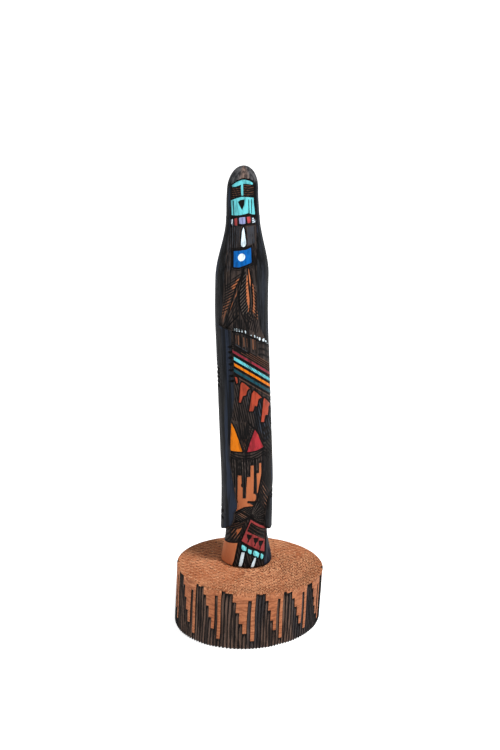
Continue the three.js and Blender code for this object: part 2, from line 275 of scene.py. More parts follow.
def bare_wood(board, warm, pale, dark):
    """Cottonwood: long soft grain between two tones, with fine dark fibres. Gives its colour and its
    fibres."""
    grain = board.noise(90, (1, 1, 0.12), 5.0)
    fibre = board.noise(600, (1, 1, 0.05), 3.0)
    tone = board.mix(grain.ramp(0.3, 0.7), warm, pale)
    return board.mix(fibre.ramp(0.55, 0.75) * 0.45, tone, dark), fibre


# Paints of the figure, in the order in which they are laid, later over earlier
PAINTS = {
    "navy": (36, 42, 62),
    "slate": (54, 60, 68),
    "steel": (92, 104, 120),
    "teal": (16, 66, 78),
    "wine": (134, 38, 52),
    "amber": (216, 116, 2),
    "crimson": (163, 42, 51),
    "vermilion": (161, 62, 40),
    "brick": (150, 58, 58),
    "coral": (190, 72, 74),
    "lavender": (141, 150, 194),
    "blue": (3, 92, 168),
    "turquoise": (100, 196, 204),
    "aqua": (124, 226, 232),
    "rust": (114, 74, 54),
    "russet": (156, 94, 62),
    "bare": (205, 122, 76),
    # Bare wood painted lighter as painted light, where the foot takes more light
    "painted_light_wood": (214, 132, 88),
    "ash": (104, 94, 88),
    "tan": (204, 146, 114),
    "white": (222, 241, 250),
}

# Tones of the wood itself, which leave the carving as it is; the lighter wood among them is painted light
DRAWN = ("navy", "slate", "rust", "russet", "bare", "painted_light_wood", "ash", "tan")


def painted_wood():
    """Burned brown wood, stained dark on the mantle, with flat paints edged by their distance fields, and
    black lines."""
    board = Board("painted_wood")
    streak = board.noise(480, (1, 1, 0.045), 4.0, 0.6)
    fine = board.noise(1100, (1, 1, 0.12), 3.0)
    patchy = board.noise(80, (1, 1, 0.4), 4.0)
    brush = board.noise(560, (1, 1, 0.16), 5.0, 0.65)
    burned = board.mix(streak.ramp(0.42, 0.58), shade(12, 11, 12), shade(54, 46, 43))
    burned = board.mix(fine.ramp(0.5, 0.66) * 0.4, burned, shade(90, 74, 64))
    stain = board.mix(streak.ramp(0.45, 0.56), shade(4, 5, 6), shade(33, 35, 39))
    stain = board.mix(patchy.ramp(0.45, 0.65) * 0.35, stain, shade(34, 30, 27))
    stain = board.mix(fine.ramp(0.48, 0.6) * 0.6, stain, shade(11, 11, 13))
    crown = board.field("crown")
    brown = board.mix(streak.ramp(0.38, 0.62), shade(58, 49, 47), shade(126, 105, 95))
    grey = board.mix(streak.ramp(0.38, 0.62), shade(38, 40, 43), shade(86, 86, 88))
    stain = board.mix(crown.ramp(0.05, 0.3), stain, board.mix(crown.ramp(0.3, 1.0), grey, brown))
    color = board.mix(board.field("mantle").ramp(-0.1, 0.1), burned, stain)
    wobble = (fine - 0.5) * 0.25
    wood = bare_wood(board, shade(160, 88, 53), shade(186, 112, 72), shade(118, 60, 37))[0]
    cover = None
    for name, paint in PAINTS.items():
        mask = (board.field(name) + wobble).ramp(-0.1, 0.12)
        tone = shade(*paint)
        if name == "bare":
            tone = wood
        # Painted light: bare wood mixed towards a lighter tone, for the foot
        elif name == "painted_light_wood":
            tone = board.mix(0.5, wood, tone)
            tone = board.mix(patchy.ramp(0.4, 0.62) * 0.45, tone, shade(172, 98, 64))
        # Navy: the blue stain, and a painted highlight on the hood's lips
        elif name == "navy":
            mask = (board.field(name) + (patchy - 0.5) * 1.2).ramp(-0.4, 0.4)
            tone = board.mix(streak.ramp(0.42, 0.58), shade(9, 12, 18), shade(33, 41, 56))
        elif name == "slate":
            mask = (board.field(name) + (streak - 0.5) * 1.4).ramp(-0.25, 0.35) * 0.85
        elif name not in DRAWN:
            worn = tuple(0.55 * v for v in tone[:3]) + (1,)
            tone = board.mix(brush.ramp(0.36, 0.56), worn, tone)
        color = board.mix(mask, color, tone)
        if name not in DRAWN:
            cover = mask if cover is None else cover.sum("MAXIMUM", cover, mask)
    # Black: the burned lines, and the bands of painted shade under the brim and round the foot
    line = (board.field("char_and_shade") + wobble).ramp(-0.12, 0.1)
    color = board.mix(line, color, board.mix(fine.ramp(0.45, 0.7), shade(8, 7, 7), shade(27, 22, 21)))
    roughness = 0.64 - 0.16 * cover + 0.1 * (fine - 0.5)
    height = 0.6 * streak * (1 - 0.7 * cover) + 0.4 * fine + 0.35 * cover
    return board.finish(color, roughness, height, 0.00045)


def burned_wood():
    """Bare cottonwood disc: pitted and streaked on top, saw-marked at the side and darkened there as painted
    shade, burned dark brown down the flutes and black between them and at their upper ends."""
    board = Board("bare_wood")
    wood, fibre = bare_wood(board, shade(184, 110, 72), shade(208, 138, 98), shade(138, 78, 50))
    flecks = board.noise(620, (0.8, 1.6, 1), 3.0, 0.7)
    marks = board.noise(420, (0.4, 0.4, 2.4), 4.0)
    pit = board.field("pit")
    top = board.field("top")
    grit = (flecks - 0.5) * 3.4
    color = board.mix(top * (0.8 * pit + grit).ramp(0.15, 0.45) * 0.9, wood, shade(92, 42, 25))
    color = board.mix(top * (grit - 0.8 * pit).ramp(0.2, 0.5) * 0.85, color, shade(240, 178, 134))
    # Painted shade: the whole side mixed half way to a darker brown, so it is darker than the top
    color = board.mix((1 - top) * 0.5, color, shade(142, 86, 57))
    color = board.mix((1 - top) * marks.ramp(0.48, 0.58) * 0.6, color, shade(112, 64, 42))
    color = board.mix((1 - top) * grit.ramp(0.0, 0.6) * 0.5, color, shade(122, 66, 41))
    scorch = board.noise(700, (1, 1, 0.07), 5.0, 0.62)
    strand = board.mix(scorch.ramp(0.4, 0.6), shade(50, 40, 36), shade(106, 84, 73))
    strand = board.mix(board.noise(38, (1, 1, 0.2), 1.0).ramp(0.45, 0.6) * 0.7, strand, shade(56, 56, 60))
    black = shade(11, 9, 9)
    depth = board.field("groove") - 0.5 * board.field("end")
    burned = board.mix((depth + (flecks - 0.5) * 0.5).ramp(0.4, 0.66), black, strand)
    edge = (board.field("burn") + (flecks - 0.5) * 0.5).ramp(-0.12, 0.12)
    color = board.mix(edge, color, burned)
    roughness = 0.72 - 0.1 * edge
    height = 0.5 * flecks * top - 0.5 * top * pit + 0.25 * fibre + 0.3 * marks * (1
                                                                                  - top) + 0.4 * scorch * edge
    return board.finish(color, roughness, height, 0.001)


# Figure: its form

def axis_x(z):
    """The stick's axis leans right in soft moves up its height."""
    return AXIS_FOOT + sum(move * smooth(z, low, high) for move, low, high in AXIS_MOVES)


def rounded(z, edge, size):
    """How far a rounded edge draws in: a quarter circle from the edge's height up over its size."""
    left = np.clip(1 - (z - edge) / size, 0, 1)
    return size * (1 - np.sqrt(1 - left ** 2))


def outer_radius(z):
    """Straight trunk from a rounded hem, narrowing to the neck, a head that tapers a little, and a dome that
    falls by a power of its height."""
    trunk = TRUNK_RADIUS + (NECK_RADIUS - TRUNK_RADIUS) * smooth(z, SHOULDER_Z, NECK_Z)
    trunk = trunk - rounded(z, HEM_Z, HEM_ROUND)
    head = HEAD_RADIUS - HEAD_TAPER * (z - NECK_Z) / (DOME_Z - NECK_Z)
    share = np.clip((z - DOME_Z) / (FIGURE_TOP - DOME_Z), 0, 1)
    dome = (HEAD_RADIUS - HEAD_TAPER) * np.sqrt(1 - share ** DOME_POWER)
    return np.where(z <= NECK_Z, trunk, np.where(z < DOME_Z, head, dome))


def panel_radius(turn, z):
    """Front panel under the mantle: distance from the axis to a circle set back and to the right of it. Below
    the hem the circle is the skirt, which widens to the foot."""
    opened = smooth(z, HEM_Z, PANEL_FULL_Z)
    skirt = FOOT_RADIUS - (FOOT_RADIUS - SKIRT_TOP_RADIUS) * smooth(z, FOOT_Z, HEM_Z)
    body = SKIRT_TOP_RADIUS + (outer_radius(z) - PANEL_RECESS / 2 - SKIRT_TOP_RADIUS) * opened
    radius = np.where(z < HEM_Z, skirt, body)
    back = PANEL_RECESS / 2 * opened
    side = back * (1 - smooth(z, 190, 230))
    along = side * np.sin(turn) - back * np.cos(turn)
    return along + np.sqrt(np.maximum(radius ** 2 - side ** 2 - back ** 2 + along ** 2, 0))


# Edges of the mantle's opening, left and right: height and distance across from the axis
LEFT_EDGE = np.array([
    (57, -16.5), (59, -15.2), (61.6, -12.6), (63.6, -10.4), (66.2, -9.3), (68.3, -8.9), (72.4, -8.4),
    (75.5, -6.7),
    (78.7, -6.5), (81.8, -7.4), (90.7, -8.6), (99.5, -9.9), (107.1, -10.7), (118.3, -10.0), (132, -8.9),
    (136, -7.8),
    (146.5, -6.2), (155.9, -5.9), (168.4, -6.2), (180.8, -6.6), (189.4, -6.6), (191.4, -13.4), (201.2, -12.1),
    (213.6, -11.4), (227.3, -10.7), (238.8, -9.4), (248.4, -7.8), (257, -7.6), (268, -7.5), (272, -7.4)])
RIGHT_EDGE = np.array([
    (57, 16.5), (59, 13.9), (62, 12.6), (69, 12.6), (78.7, 13.4), (82, 14.5), (84, 16.5), (174, 16.5),
    (176.5, 15.5),
    (188.1, 11.8), (201, 9.4), (225, 8.8), (243.2, 8.4), (252, 8.1), (268, 7.7), (272, 7.4)])
BRIM = np.array([(-8.5, 273.6), (-7.6, 274.6), (-6.3, 275.6), (-3.5, 277.7), (0, 278.8), (3.6, 278.2),
                 (6.9, 276.4), (8.5, 274.5)])


def edge_turn(edge, z):
    """Turn from the front at which the mantle's edge stands at a height."""
    across = np.interp(z, edge[:, 0], edge[:, 1])
    radius = outer_radius(np.minimum(z, 272))
    return np.arcsin(np.clip(across / radius, -1, 1))


# Figure: what is drawn and cut on the front, in u (across from the axis) and z (height)

class Carving:
    """Distance fields, positive inside, for each paint and for the black lines, which are burned lines and a
    few bands of painted shade, and the depth cut away.
    """

    def __init__(self, u, z, live):
        self.u = u
        self.z = z
        self.live = live
        self.fields = {name: np.full(u.shape, -REACH) for name in [*PAINTS, "char_and_shade"]}
        self.cut = np.zeros(u.shape)

    def near(self, points, margin=REACH):
        """The vertices close enough to some points to be reached by them."""
        points = np.asarray(points, float)
        low, high = points.min(0) - margin, points.max(0) + margin
        inside = (self.u > low[0]) & (self.u < high[0]) & (self.z > low[1]) & (self.z < high[1])
        return np.nonzero(inside & self.live)

    def to_segments(self, at, start, end):
        """Distance from each place to the nearest of some straight segments."""
        u, z = self.u[at][:, None], self.z[at][:, None]
        du, dz = (end - start).T
        share = np.clip(((u - start[:, 0]) * du + (z - start[:, 1]) * dz) / (du ** 2 + dz ** 2 + 1e-9), 0, 1)
        return np.hypot(u - start[:, 0] - share * du, z - start[:, 1] - share * dz).min(1)

    def patch(self, points):
        """Distance to a closed outline, positive inside; a place is inside if its ray crosses the outline an
        odd number of times."""
        at = self.near(points)
        start = np.asarray(points, float)
        end = np.roll(start, -1, 0)
        u, z = self.u[at][:, None], self.z[at][:, None]
        spans = (start[:, 1] > z) != (end[:, 1] > z)
        rise = np.where(end[:, 1] == start[:, 1], 1e-9, end[:, 1] - start[:, 1])
        crossed = spans & (u < (end[:, 0] - start[:, 0]) * (z - start[:, 1]) / rise + start[:, 0])
        return self.whole(at, self.to_segments(at, start, end) * np.where(crossed.sum(1) % 2 == 1, 1, -1))

    def stroke(self, points, width):
        """Distance to a line of some width, positive inside."""
        at = self.near(points)
        line = np.asarray(points, float)
        if len(line) == 1:
            line = np.repeat(line, 2, 0)
        return self.whole(at, width / 2 - self.to_segments(at, line[:-1], line[1:]))

    def whole(self, at, values):
        """Values at some vertices, and far outside at the rest."""
        full = np.full(self.u.shape, -REACH)
        full[at] = values
        return full

    def stripes(self, angle, pitch, width, start=0.0, bend=0.0):
        """Parallel lines at an angle, a pitch apart, bent by the square of the distance across."""
        run = self.z * math.cos(angle) - self.u * math.sin(angle) + bend * self.u ** 2 - start
        return width / 2 - np.abs((run / pitch + 0.5) % 1 - 0.5) * pitch

    def paint(self, name, shape, over=True):
        """Lays a tone on a shape. A paint that goes over fills the burned lines that were there before."""
        shape = shape if isinstance(shape, np.ndarray) else self.patch(shape)
        shape = np.where(self.live, shape, -REACH)
        self.fields[name] = np.maximum(self.fields[name], shape)
        if over and name != "char_and_shade":
            self.fields["char_and_shade"] = np.minimum(self.fields["char_and_shade"], -shape)
            if name not in DRAWN:
                self.cut = self.cut * (1 - smooth(shape, -0.1, 0.15))

    def sink(self, shape, depth, run=0.25):
        """Cuts a shape down, with walls that slope over a short run inside its edge."""
        shape = shape if isinstance(shape, np.ndarray) else self.patch(shape)
        self.cut = np.maximum(self.cut, depth * smooth(np.where(self.live, shape, -REACH), -0.05, run))

    def groove(self, points, width=0.7, depth=0.55):
        """Burned line: black, and rounded at the bottom."""
        shape = self.stroke(points, width)
        self.paint("char_and_shade", shape)
        self.sink(shape, depth, width / 2)

    def outline(self, points, width=0.6, depth=0.5):
        """Burned line all round a closed outline, just outside it."""
        shape = self.patch(points)
        ring = width / 2 - np.abs(shape + width / 2)
        self.paint("char_and_shade", ring)
        self.sink(ring, depth, width / 2)

    def block(self, name, points, width=0.6, depth=0.5):
        """Painted patch with a burned line round it."""
        self.paint(name, points)
        self.outline(points, width, depth)

    def hatch(self, region, angle, pitch, width, tone="char_and_shade", depth=0.3, start=0.0, bend=0.0):
        """Stripes inside an outline, burned and cut, or laid in another tone."""
        shape = np.minimum(self.patch(region), self.stripes(angle, pitch, width, start, bend))
        self.paint(tone, shape)
        if depth:
            self.sink(shape, depth, width / 2)


def draw_face(c):
    """Hood brim, brow and nose in turquoise, two sunk eye panels, and the lower mask with its mouth and
    slits."""
    brow = [(-6.5, 274.6), (-4.2, 276.4), (-1.3, 277.8), (1.2, 277.7), (3.8, 276.8), (5.8, 275.3),
            (5.7, 274.3), (2.6, 275.2), (0.4, 275.5), (-1.0, 275.1), (-1.9, 274.7), (-4.0, 273.8),
            (-6.0, 273.3)]
    nose = [(-1.2, 275.6), (0.1, 275.8), (0.5, 267.6), (-0.6, 267.6)]
    eyes = [[(-7.0, 272.7), (-1.5, 274.3), (-1.1, 268.2), (-6.8, 266.1)],
            [(0.4, 274.9), (3.0, 274.6), (7.0, 273.4), (7.3, 266.6), (0.9, 267.9)]]
    cheeks = [(-6.7, 265.6), (-3.5, 267.2), (-0.6, 268.1), (3, 267.7), (6.4, 266.7), (6.7, 262), (7.1, 256.6),
              (5.4, 257.2), (3.3, 258.3), (-0.5, 257.5), (-4.8, 257.0), (-5.5, 256.5), (-6.5, 256.5)]
    corners = [[(-7.8, 276.4), (-6.2, 275.6), (-6.5, 272.6), (-6.6, 266.0), (-7.8, 264.0)],
               [(5.2, 277.2), (7.9, 276.8), (8.0, 266.0), (6.9, 266.0), (6.8, 272.6), (6.0, 275.0)]]
    c.outline(brow, 0.7)
    for eye, fall in zip(eyes, (0.12, -0.3)):
        c.sink(eye, 0.5)
        c.paint("char_and_shade", eye)
        c.hatch(eye, fall, 1.25, 0.34, "rust", 0, bend=0.09 * fall)
    for corner in corners:
        c.paint("char_and_shade", corner)
        c.sink(corner, 0.3)
    for part in (brow, nose, cheeks):
        c.paint("turquoise", part)
    c.outline(cheeks, 0.7)
    mouth = [(-2.7, 265.1), (-1.2, 266.2), (1.2, 266.5), (1.0, 263.4), (-0.3, 260.3), (-1.2, 261.8)]
    c.paint("char_and_shade", mouth)
    c.sink(mouth, 0.6)
    blots = [[(-6.4, 262.4), (-5.8, 262.8), (-5.8, 258.0), (-6.3, 257.6)],
             [(2.2, 262.5), (2.9, 262.0), (2.8, 259.2), (2.2, 258.8)]]
    for blot in blots:
        c.hatch(blot, 1.2, 0.8, 0.2, "teal", 0)
    slits = ((-5.25, 265.3, 256.6, 0.55), (3.6, 266.0, 258.6, 0.5), (5.15, 265.9, 258.0, 0.45))
    for across, high, low, width in slits:
        c.groove([(across, high), (across, low)], width, 0.35)


def draw_collar(c):
    """Five painted blocks standing in a burned band."""
    band = c.patch([(-8.0, 256.9), (-3, 257.0), (3.2, 258.2), (5.4, 257.1), (8.4, 256.4), (8.4, 250.6),
                    (0, 251.2), (-8.0, 249.6)])
    blocks = [
        ("steel", [(-7.2, 254.2), (-5.8, 254.9), (-5.7, 251.6), (-6.1, 250.4), (-6.9, 251.8)]),
        ("brick", [(-4.9, 255.2), (-3.4, 255.6), (-3.4, 251.4), (-4.1, 250.9), (-4.8, 251.3)]),
        ("lavender", [(-2.3, 255.8), (-0.4, 256.2), (1.3, 256.1), (1.5, 252.3), (-0.4, 252.1),
                      (-2.2, 252.3)]),
        ("coral", [(2.2, 256.2), (4.3, 256.1), (4.6, 254.0), (4.2, 252.4), (2.8, 252.4)]),
        ("steel", [(5.1, 255.4), (6.1, 255.2), (7.3, 252.9), (7.1, 251.8), (5.4, 252.1)])]
    stones = np.maximum.reduce([c.patch(points) for _, points in blocks])
    c.paint("char_and_shade", np.minimum(band, -0.1 - stones))
    c.sink(np.minimum(band, -stones), 0.45, 0.35)
    for name, points in blocks:
        c.paint(name, points)
    c.paint("white", np.minimum(c.patch(blocks[4][1]) - 0.15, c.stripes(0.25, 1.1, 0.55)))
    c.paint("white", np.minimum(c.patch(blocks[0][1]) - 0.1, c.stripes(1.4, 1.2, 0.4)))


def draw_chest(c):
    """White drop, the blue square with its white disc, and hair lines to the left of them."""
    drop = [(0.2, 250.5), (0.7, 249.2), (1.15, 246.5), (1.6, 243), (1.9, 240.6), (1.4, 239.5), (0.3, 239.0),
            (-0.8, 239.4), (-1.2, 240.6), (-1.0, 244), (-0.6, 248)]
    square = [(-5.3, 236.7), (2.0, 237.5), (4.7, 238.4), (5.2, 229.9), (-2.2, 227.6), (-5.2, 227.7)]
    c.hatch([(-8.5, 252), (-1.6, 251), (-1.8, 238), (-8, 237)], UPRIGHT, 1.25, 0.5, depth=0.25, start=0.4)
    c.hatch([(-9.5, 238), (-6.6, 238), (-6.3, 216), (-10.2, 212)], UPRIGHT, 1.4, 0.55, depth=0.25)
    c.hatch([(6.2, 250), (8.8, 250), (9.4, 214), (6.6, 226)], UPRIGHT, 1.3, 0.45, depth=0.2)
    c.hatch([(2.4, 250.2), (6.4, 250.2), (6.8, 240.6), (2.9, 240.2)], UPRIGHT + 0.05, 0.95, 0.6, "slate", 0)
    c.hatch([(-8.8, 252), (-2.2, 251), (-2.4, 238.4), (-6.9, 237.6), (-7.0, 226), (-9.6, 224)], UPRIGHT, 1.25,
            0.4, "slate", 0, 1.02)
    c.groove([(6.3, 238.8), (6.9, 229.6), (8.6, 216)], 0.6, 0.35)
    c.block("white", drop, 0.7)
    c.block("blue", square, 1.0, 0.6)
    c.groove([(-6.7, 238.0), (2.4, 239.0), (6.2, 239.9), (6.8, 228.9), (-2.0, 225.9), (-6.6, 226.2),
              (-6.7, 238.0)], 0.5, 0.4)
    c.paint("white", c.stroke([(-0.85, 233.1), (-0.55, 233.5)], 3.9))


def draw_feathers(c):
    """Three feathers below the square. Beside each midrib runs a strip of bare wood; slanting barbs eat into
    its edges."""
    left = [(0.6, 227.2), (-1.3, 220.9), (-3.8, 215.5), (-6.3, 205.0), (-8.6, 196.6), (-10.6, 191.4)]
    centre = [(2.9, 227.6), (3.6, 219.5), (4.7, 209.5), (5.0, 205.0), (4.3, 200.5)]
    right = [(3.9, 227.0), (5.4, 219.0), (6.1, 210.7), (6.4, 205.8), (5.9, 199.0)]
    edge = [(0.9, 227.0), (-0.3, 219.5), (-1.6, 212.5), (-1.5, 206.4), (-0.1, 199.7), (1.6, 195.6),
            (3.2, 192.2)]
    strips = [
        ("bare", [(2.6, 223.2), (3.1, 223.0), (3.6, 214.7), (4.4, 209.1), (4.4, 206.0), (4.2, 204.3),
                  (4.8, 203.0), (3.4, 200.0), (3.8, 204.2), (3.0, 206.2), (2.6, 210.5), (2.2, 216)]),
        ("bare", [(3.2, 227.0), (3.9, 226.4), (4.9, 219.9), (4.9, 215.7), (4.2, 218.5), (3.7, 222.5)]),
        ("russet", [(5.6, 218.4), (6.6, 216.3), (7.4, 208.6), (7.8, 203.0), (7.5, 198.5), (6.2, 200.4),
                    (6.6, 205.8), (6.3, 210.7)]),
        ("rust", [(8.9, 203), (9.5, 202.4), (9.4, 194.6), (8.7, 196.2)]),
        ("russet", [(-1.6, 221.6), (-3.2, 220.2), (-6.2, 215.9), (-5.4, 214.4), (-4.4, 214.8),
                    (-3.0, 218.0)]),
        ("bare", [(-3.4, 218.6), (-4.6, 217.4), (-5.6, 215.7), (-5.0, 215.0), (-4.2, 216.0)]),
        ("russet", [(-2.7, 214.6), (-4.0, 210.2), (-5.8, 204.4), (-7.3, 199.8), (-8.7, 195.6), (-8.0, 199.4),
                    (-6.4, 204.6), (-3.3, 210.8)]),
        ("rust", [(-6.3, 210.5), (-7.5, 205.4), (-9.4, 199.0), (-11.2, 192.4), (-10.4, 199.0),
                  (-8.4, 206.6)]),
        ("rust", [(-9.8, 204.5), (-10.8, 199.4), (-11.8, 192.6), (-11.3, 199.4), (-10.5, 204.3)])]
    for tone, points in strips:
        c.paint(tone, points)
    outer_vane = [(-0.6, 224.5), (-3.2, 217.4), (-6.2, 208.0), (-7.4, 202.6), (-12.2, 196.5), (-9.4, 216.5),
                  (-5.2, 221.5)]
    inner_vane = [(1.9, 226), (0.6, 224), (-1.5, 213), (-1.4, 206), (0.0, 200.0), (4.2, 199.6), (3.4, 204),
                  (2.5, 210), (2.2, 219)]
    far_vane = [(6.6, 218), (9.6, 208), (9.6, 196), (7.0, 196), (7.4, 203), (7.1, 210)]
    c.hatch([(-3.4, 217.4), (-6.2, 208.6), (-9.2, 199.0), (-10.4, 203.0), (-7.6, 212.4), (-6.6, 216.6)], 0.62,
            1.35, 0.22, "rust", 0, 1.28)
    c.hatch(inner_vane, 0.86, 1.45, 0.22, "ash", 0, 0.92)
    c.hatch(far_vane, -0.9, 1.2, 0.3, "rust", 0, 0.6)
    c.hatch(outer_vane, 0.62, 1.35, 0.6, start=0.6)
    c.hatch(inner_vane, 0.86, 1.45, 0.8, start=0.2)
    c.hatch(far_vane, -0.9, 1.2, 0.55)
    c.hatch([(5.5, 219), (6.5, 216), (7.0, 207), (7.0, 196), (6.0, 198)], -0.9, 1.2, 0.42)
    c.hatch([(3.3, 221), (2.6, 221), (2.2, 212), (2.8, 200), (4.4, 202), (3.4, 206), (3.0, 212)], 0.86, 1.45,
            0.45, start=0.2)
    c.hatch([(-2.4, 214.6), (-4.8, 207), (-8.9, 195.6), (-7.4, 200.4), (-5.4, 205.6)], 1.15, 1.3, 0.3)
    c.hatch([(4.3, 200.0), (0.4, 200.0), (3.2, 193), (7.4, 194), (5.4, 204)], -0.85, 1.5, 0.6)
    c.hatch([(4.6, 199), (9.6, 197), (9.8, 186.6), (6.6, 188.0), (2.6, 191.6)], UPRIGHT - 0.25, 1.3, 0.6)
    c.hatch([(-1.6, 208), (-2.2, 213), (-4.4, 207.6), (-8.9, 195.6), (-9.6, 191.8), (-8.4, 192.2),
             (-2.0, 198.4)], 1.15, 1.3, 0.5)
    c.hatch([(-8.2, 190), (-1.9, 197), (1.4, 196), (5, 190), (2.5, 189)], UPRIGHT, 1.25, 0.55)
    for spine in (left, centre, right, edge):
        c.groove(spine, 0.75)
    c.groove([(-1.6, 206.5), (-2.4, 215.0), (0.6, 226.6)], 0.6)
    c.groove([(-9.0, 190.4), (-5.7, 194.6), (-2.0, 198.8)], 0.9)
    c.groove([(8.2, 212), (8.6, 204), (8.6, 195.0)], 0.5)


def draw_beads(c):
    """Strung beads across the body, thin at the left and rounder to the right, with bars of half-bare wood
    below."""
    beads = [(-4.4, 190.1, 1.6, 0.36), (-3.1, 190.0, 2.3, 0.46), (-1.6, 189.7, 2.2, 0.44),
             (0.0, 189.3, 2.1, 0.42), (2.0, 188.7, 1.9, 0.55), (5.3, 186.2, 0.8, 0.5), (7.4, 185.2, 1.7, 0.6),
             (8.9, 184.2, 1.0, 0.55), (10.2, 182.9, 2.0, 1.0), (12.4, 181.4, 1.9, 1.3),
             (14.0, 180.0, 1.3, 1.1), (15.1, 178.6, 2.2, 1.2)]
    c.groove([(-7, 188.7), (-3, 188.6), (0, 188.0), (5, 185.2), (10, 181.7), (13, 179.4), (15.9, 176.0)], 1.1,
             0.5)
    under = [(-6.4, 188), (0, 187.4), (5, 184.4), (9, 181.6), (9.2, 174), (-6.4, 181)]
    c.hatch(under, UPRIGHT, 1.75, 0.7, start=0.9)
    for across, width in ((-2.3, 0.7), (-3.7, 0.25), (0.9, 0.55), (2.7, 0.3), (6.3, 0.75), (7.5, 0.3)):
        high = 187.2 - 0.33 * (across + 4) - 0.4
        low = 181.6 - 0.4 * (across + 4)
        c.paint("rust", c.stroke([(across, high), (across + 0.1, low)], width))
    c.hatch([(9.4, 181), (12, 179.4), (15.8, 175.4), (15.8, 168), (9.2, 173)], 1.2, 1.3, 0.5, bend=0.05)
    for across, high, tall, width in beads:
        half = max(tall - width, 0.02) / 2
        bead = c.stroke([(across, high + half), (across + 0.12, high - half)], width)
        c.paint("white", bead)
        c.cut = np.where(bead > 0, np.minimum(c.cut, 0.0) - 0.28 * smooth(bead, 0, width / 2), c.cut)


def draw_sash(c):
    """Slanting stripes: a stripe's height falls with u and with how far the round trunk has turned away."""
    away = TRUNK_RADIUS - np.sqrt(np.maximum(TRUNK_RADIUS ** 2 - c.u ** 2, 0))
    along = c.z + 0.66 * c.u + 0.36 * away
    live = (c.z > 135) & (c.z < 190)
    lines = ((178.6, 0.5, 0.3), (177.4, 0.8, 0.5), (176.2, 0.5, 0.3), (174.8, 0.7, 0.5), (171.15, 1.7, 0.65),
             (167.1, 1.6, 0.65), (163.5, 1.5, 0.6), (159.6, 1.5, 0.6), (157.4, 0.5, 0.3))
    bands = (("wine", 172.2, 173.8, -6.4), ("turquoise", 168.0, 170.1, -5.3), ("amber", 164.4, 166.2, -5.2),
             ("teal", 160.5, 162.5, -6.4), ("rust", 175.1, 175.6, -1.0), ("rust", 176.4, 176.9, 2.0),
             ("rust", 177.7, 178.2, 4.0), ("rust", 179.0, 179.5, 8.5), ("rust", 158.2, 158.6, -4.0))
    for centre, width, depth in lines:
        shape = np.where(live, np.minimum(width / 2 - np.abs(along - centre), c.u + 6.6), -REACH)
        c.paint("char_and_shade", shape)
        c.sink(shape, depth, width / 2)
    ground = np.where(live, np.minimum(2.4 - np.abs(along - 176.6), c.u + 5.0), -REACH)
    c.paint("char_and_shade", ground)
    pale = np.minimum(0.35 - np.abs(along - 178.4), 3.6 - np.abs(c.u + 0.8))
    c.paint("slate", np.where(live, pale, -REACH))
    for name, low, high, start in bands:
        band = (high - low) / 2 - np.abs(along - (high + low) / 2)
        c.paint(name, np.where(live, np.minimum(band, c.u - start), -REACH))
    ticks = np.minimum(c.stripes(1.05, 1.0, 0.3), np.where(live, 1.0 - np.abs(along - 169.05), -REACH))
    ticks = np.minimum(ticks, c.u - 1.0)
    c.fields["turquoise"] = np.minimum(c.fields["turquoise"], -ticks)
    c.paint("teal", ticks)
    shadow = np.where(live, np.minimum(0.45 - np.abs(along - 173.1), 0.35 - np.abs(c.u - 4.6)), -REACH)
    c.paint("char_and_shade", shadow)


def draw_drops(c):
    """Stepped drops under the sash, over a field of long slanting bars."""
    lean = UPRIGHT + 0.17
    field = [(-6.4, 158.5), (0, 156.5), (8, 150), (15.9, 142.5), (15.9, 119), (11.4, 117.4), (1.6, 132.0),
             (-8.4, 133.0)]
    c.hatch(field, lean, 1.3, 0.62, depth=0.4)
    c.paint("navy", c.patch([(4.5, 142), (8, 148), (16, 141), (16, 119), (12, 118), (7.5, 126)]) * 0.3, False)
    c.paint("slate", np.minimum(c.patch([(4.5, 146), (16, 138), (16, 121), (12.4, 119), (6.0, 129)]),
                                c.stripes(lean, 1.3, 0.4, 0.65)))
    drops = [
        [(-5.2, 160.8), (-3.6, 160.2), (-3.6, 156.9), (-4.4, 156.4)],
        [(-1.1, 157.5), (0.4, 156.6), (3.6, 153.4), (2.0, 152.3), (1.1, 149.2), (-0.8, 148.7), (-2.2, 144.5),
         (-3.4, 144.7), (-2.5, 151), (-1.9, 156.3)],
        [(5.9, 151.7), (8.2, 149.2), (10.6, 146.0), (8.5, 145.8), (7.4, 141.2), (6.1, 142.1), (5.0, 138.6),
         (2.6, 139.0), (3.7, 145), (4.6, 149.9)],
        [(11.9, 145.4), (13.8, 142.6), (15.4, 139.2), (14.3, 138.2), (13.8, 133.4), (12.3, 134.3),
         (11.3, 130.2), (9.5, 130.9), (10.6, 138), (11.3, 143.9)]]
    for drop in drops:
        c.block("vermilion", drop, 0.8, 0.5)
    c.paint("slate", c.stroke([(3.4, 152.0), (1.9, 147.0), (1.2, 141.0)], 0.35))


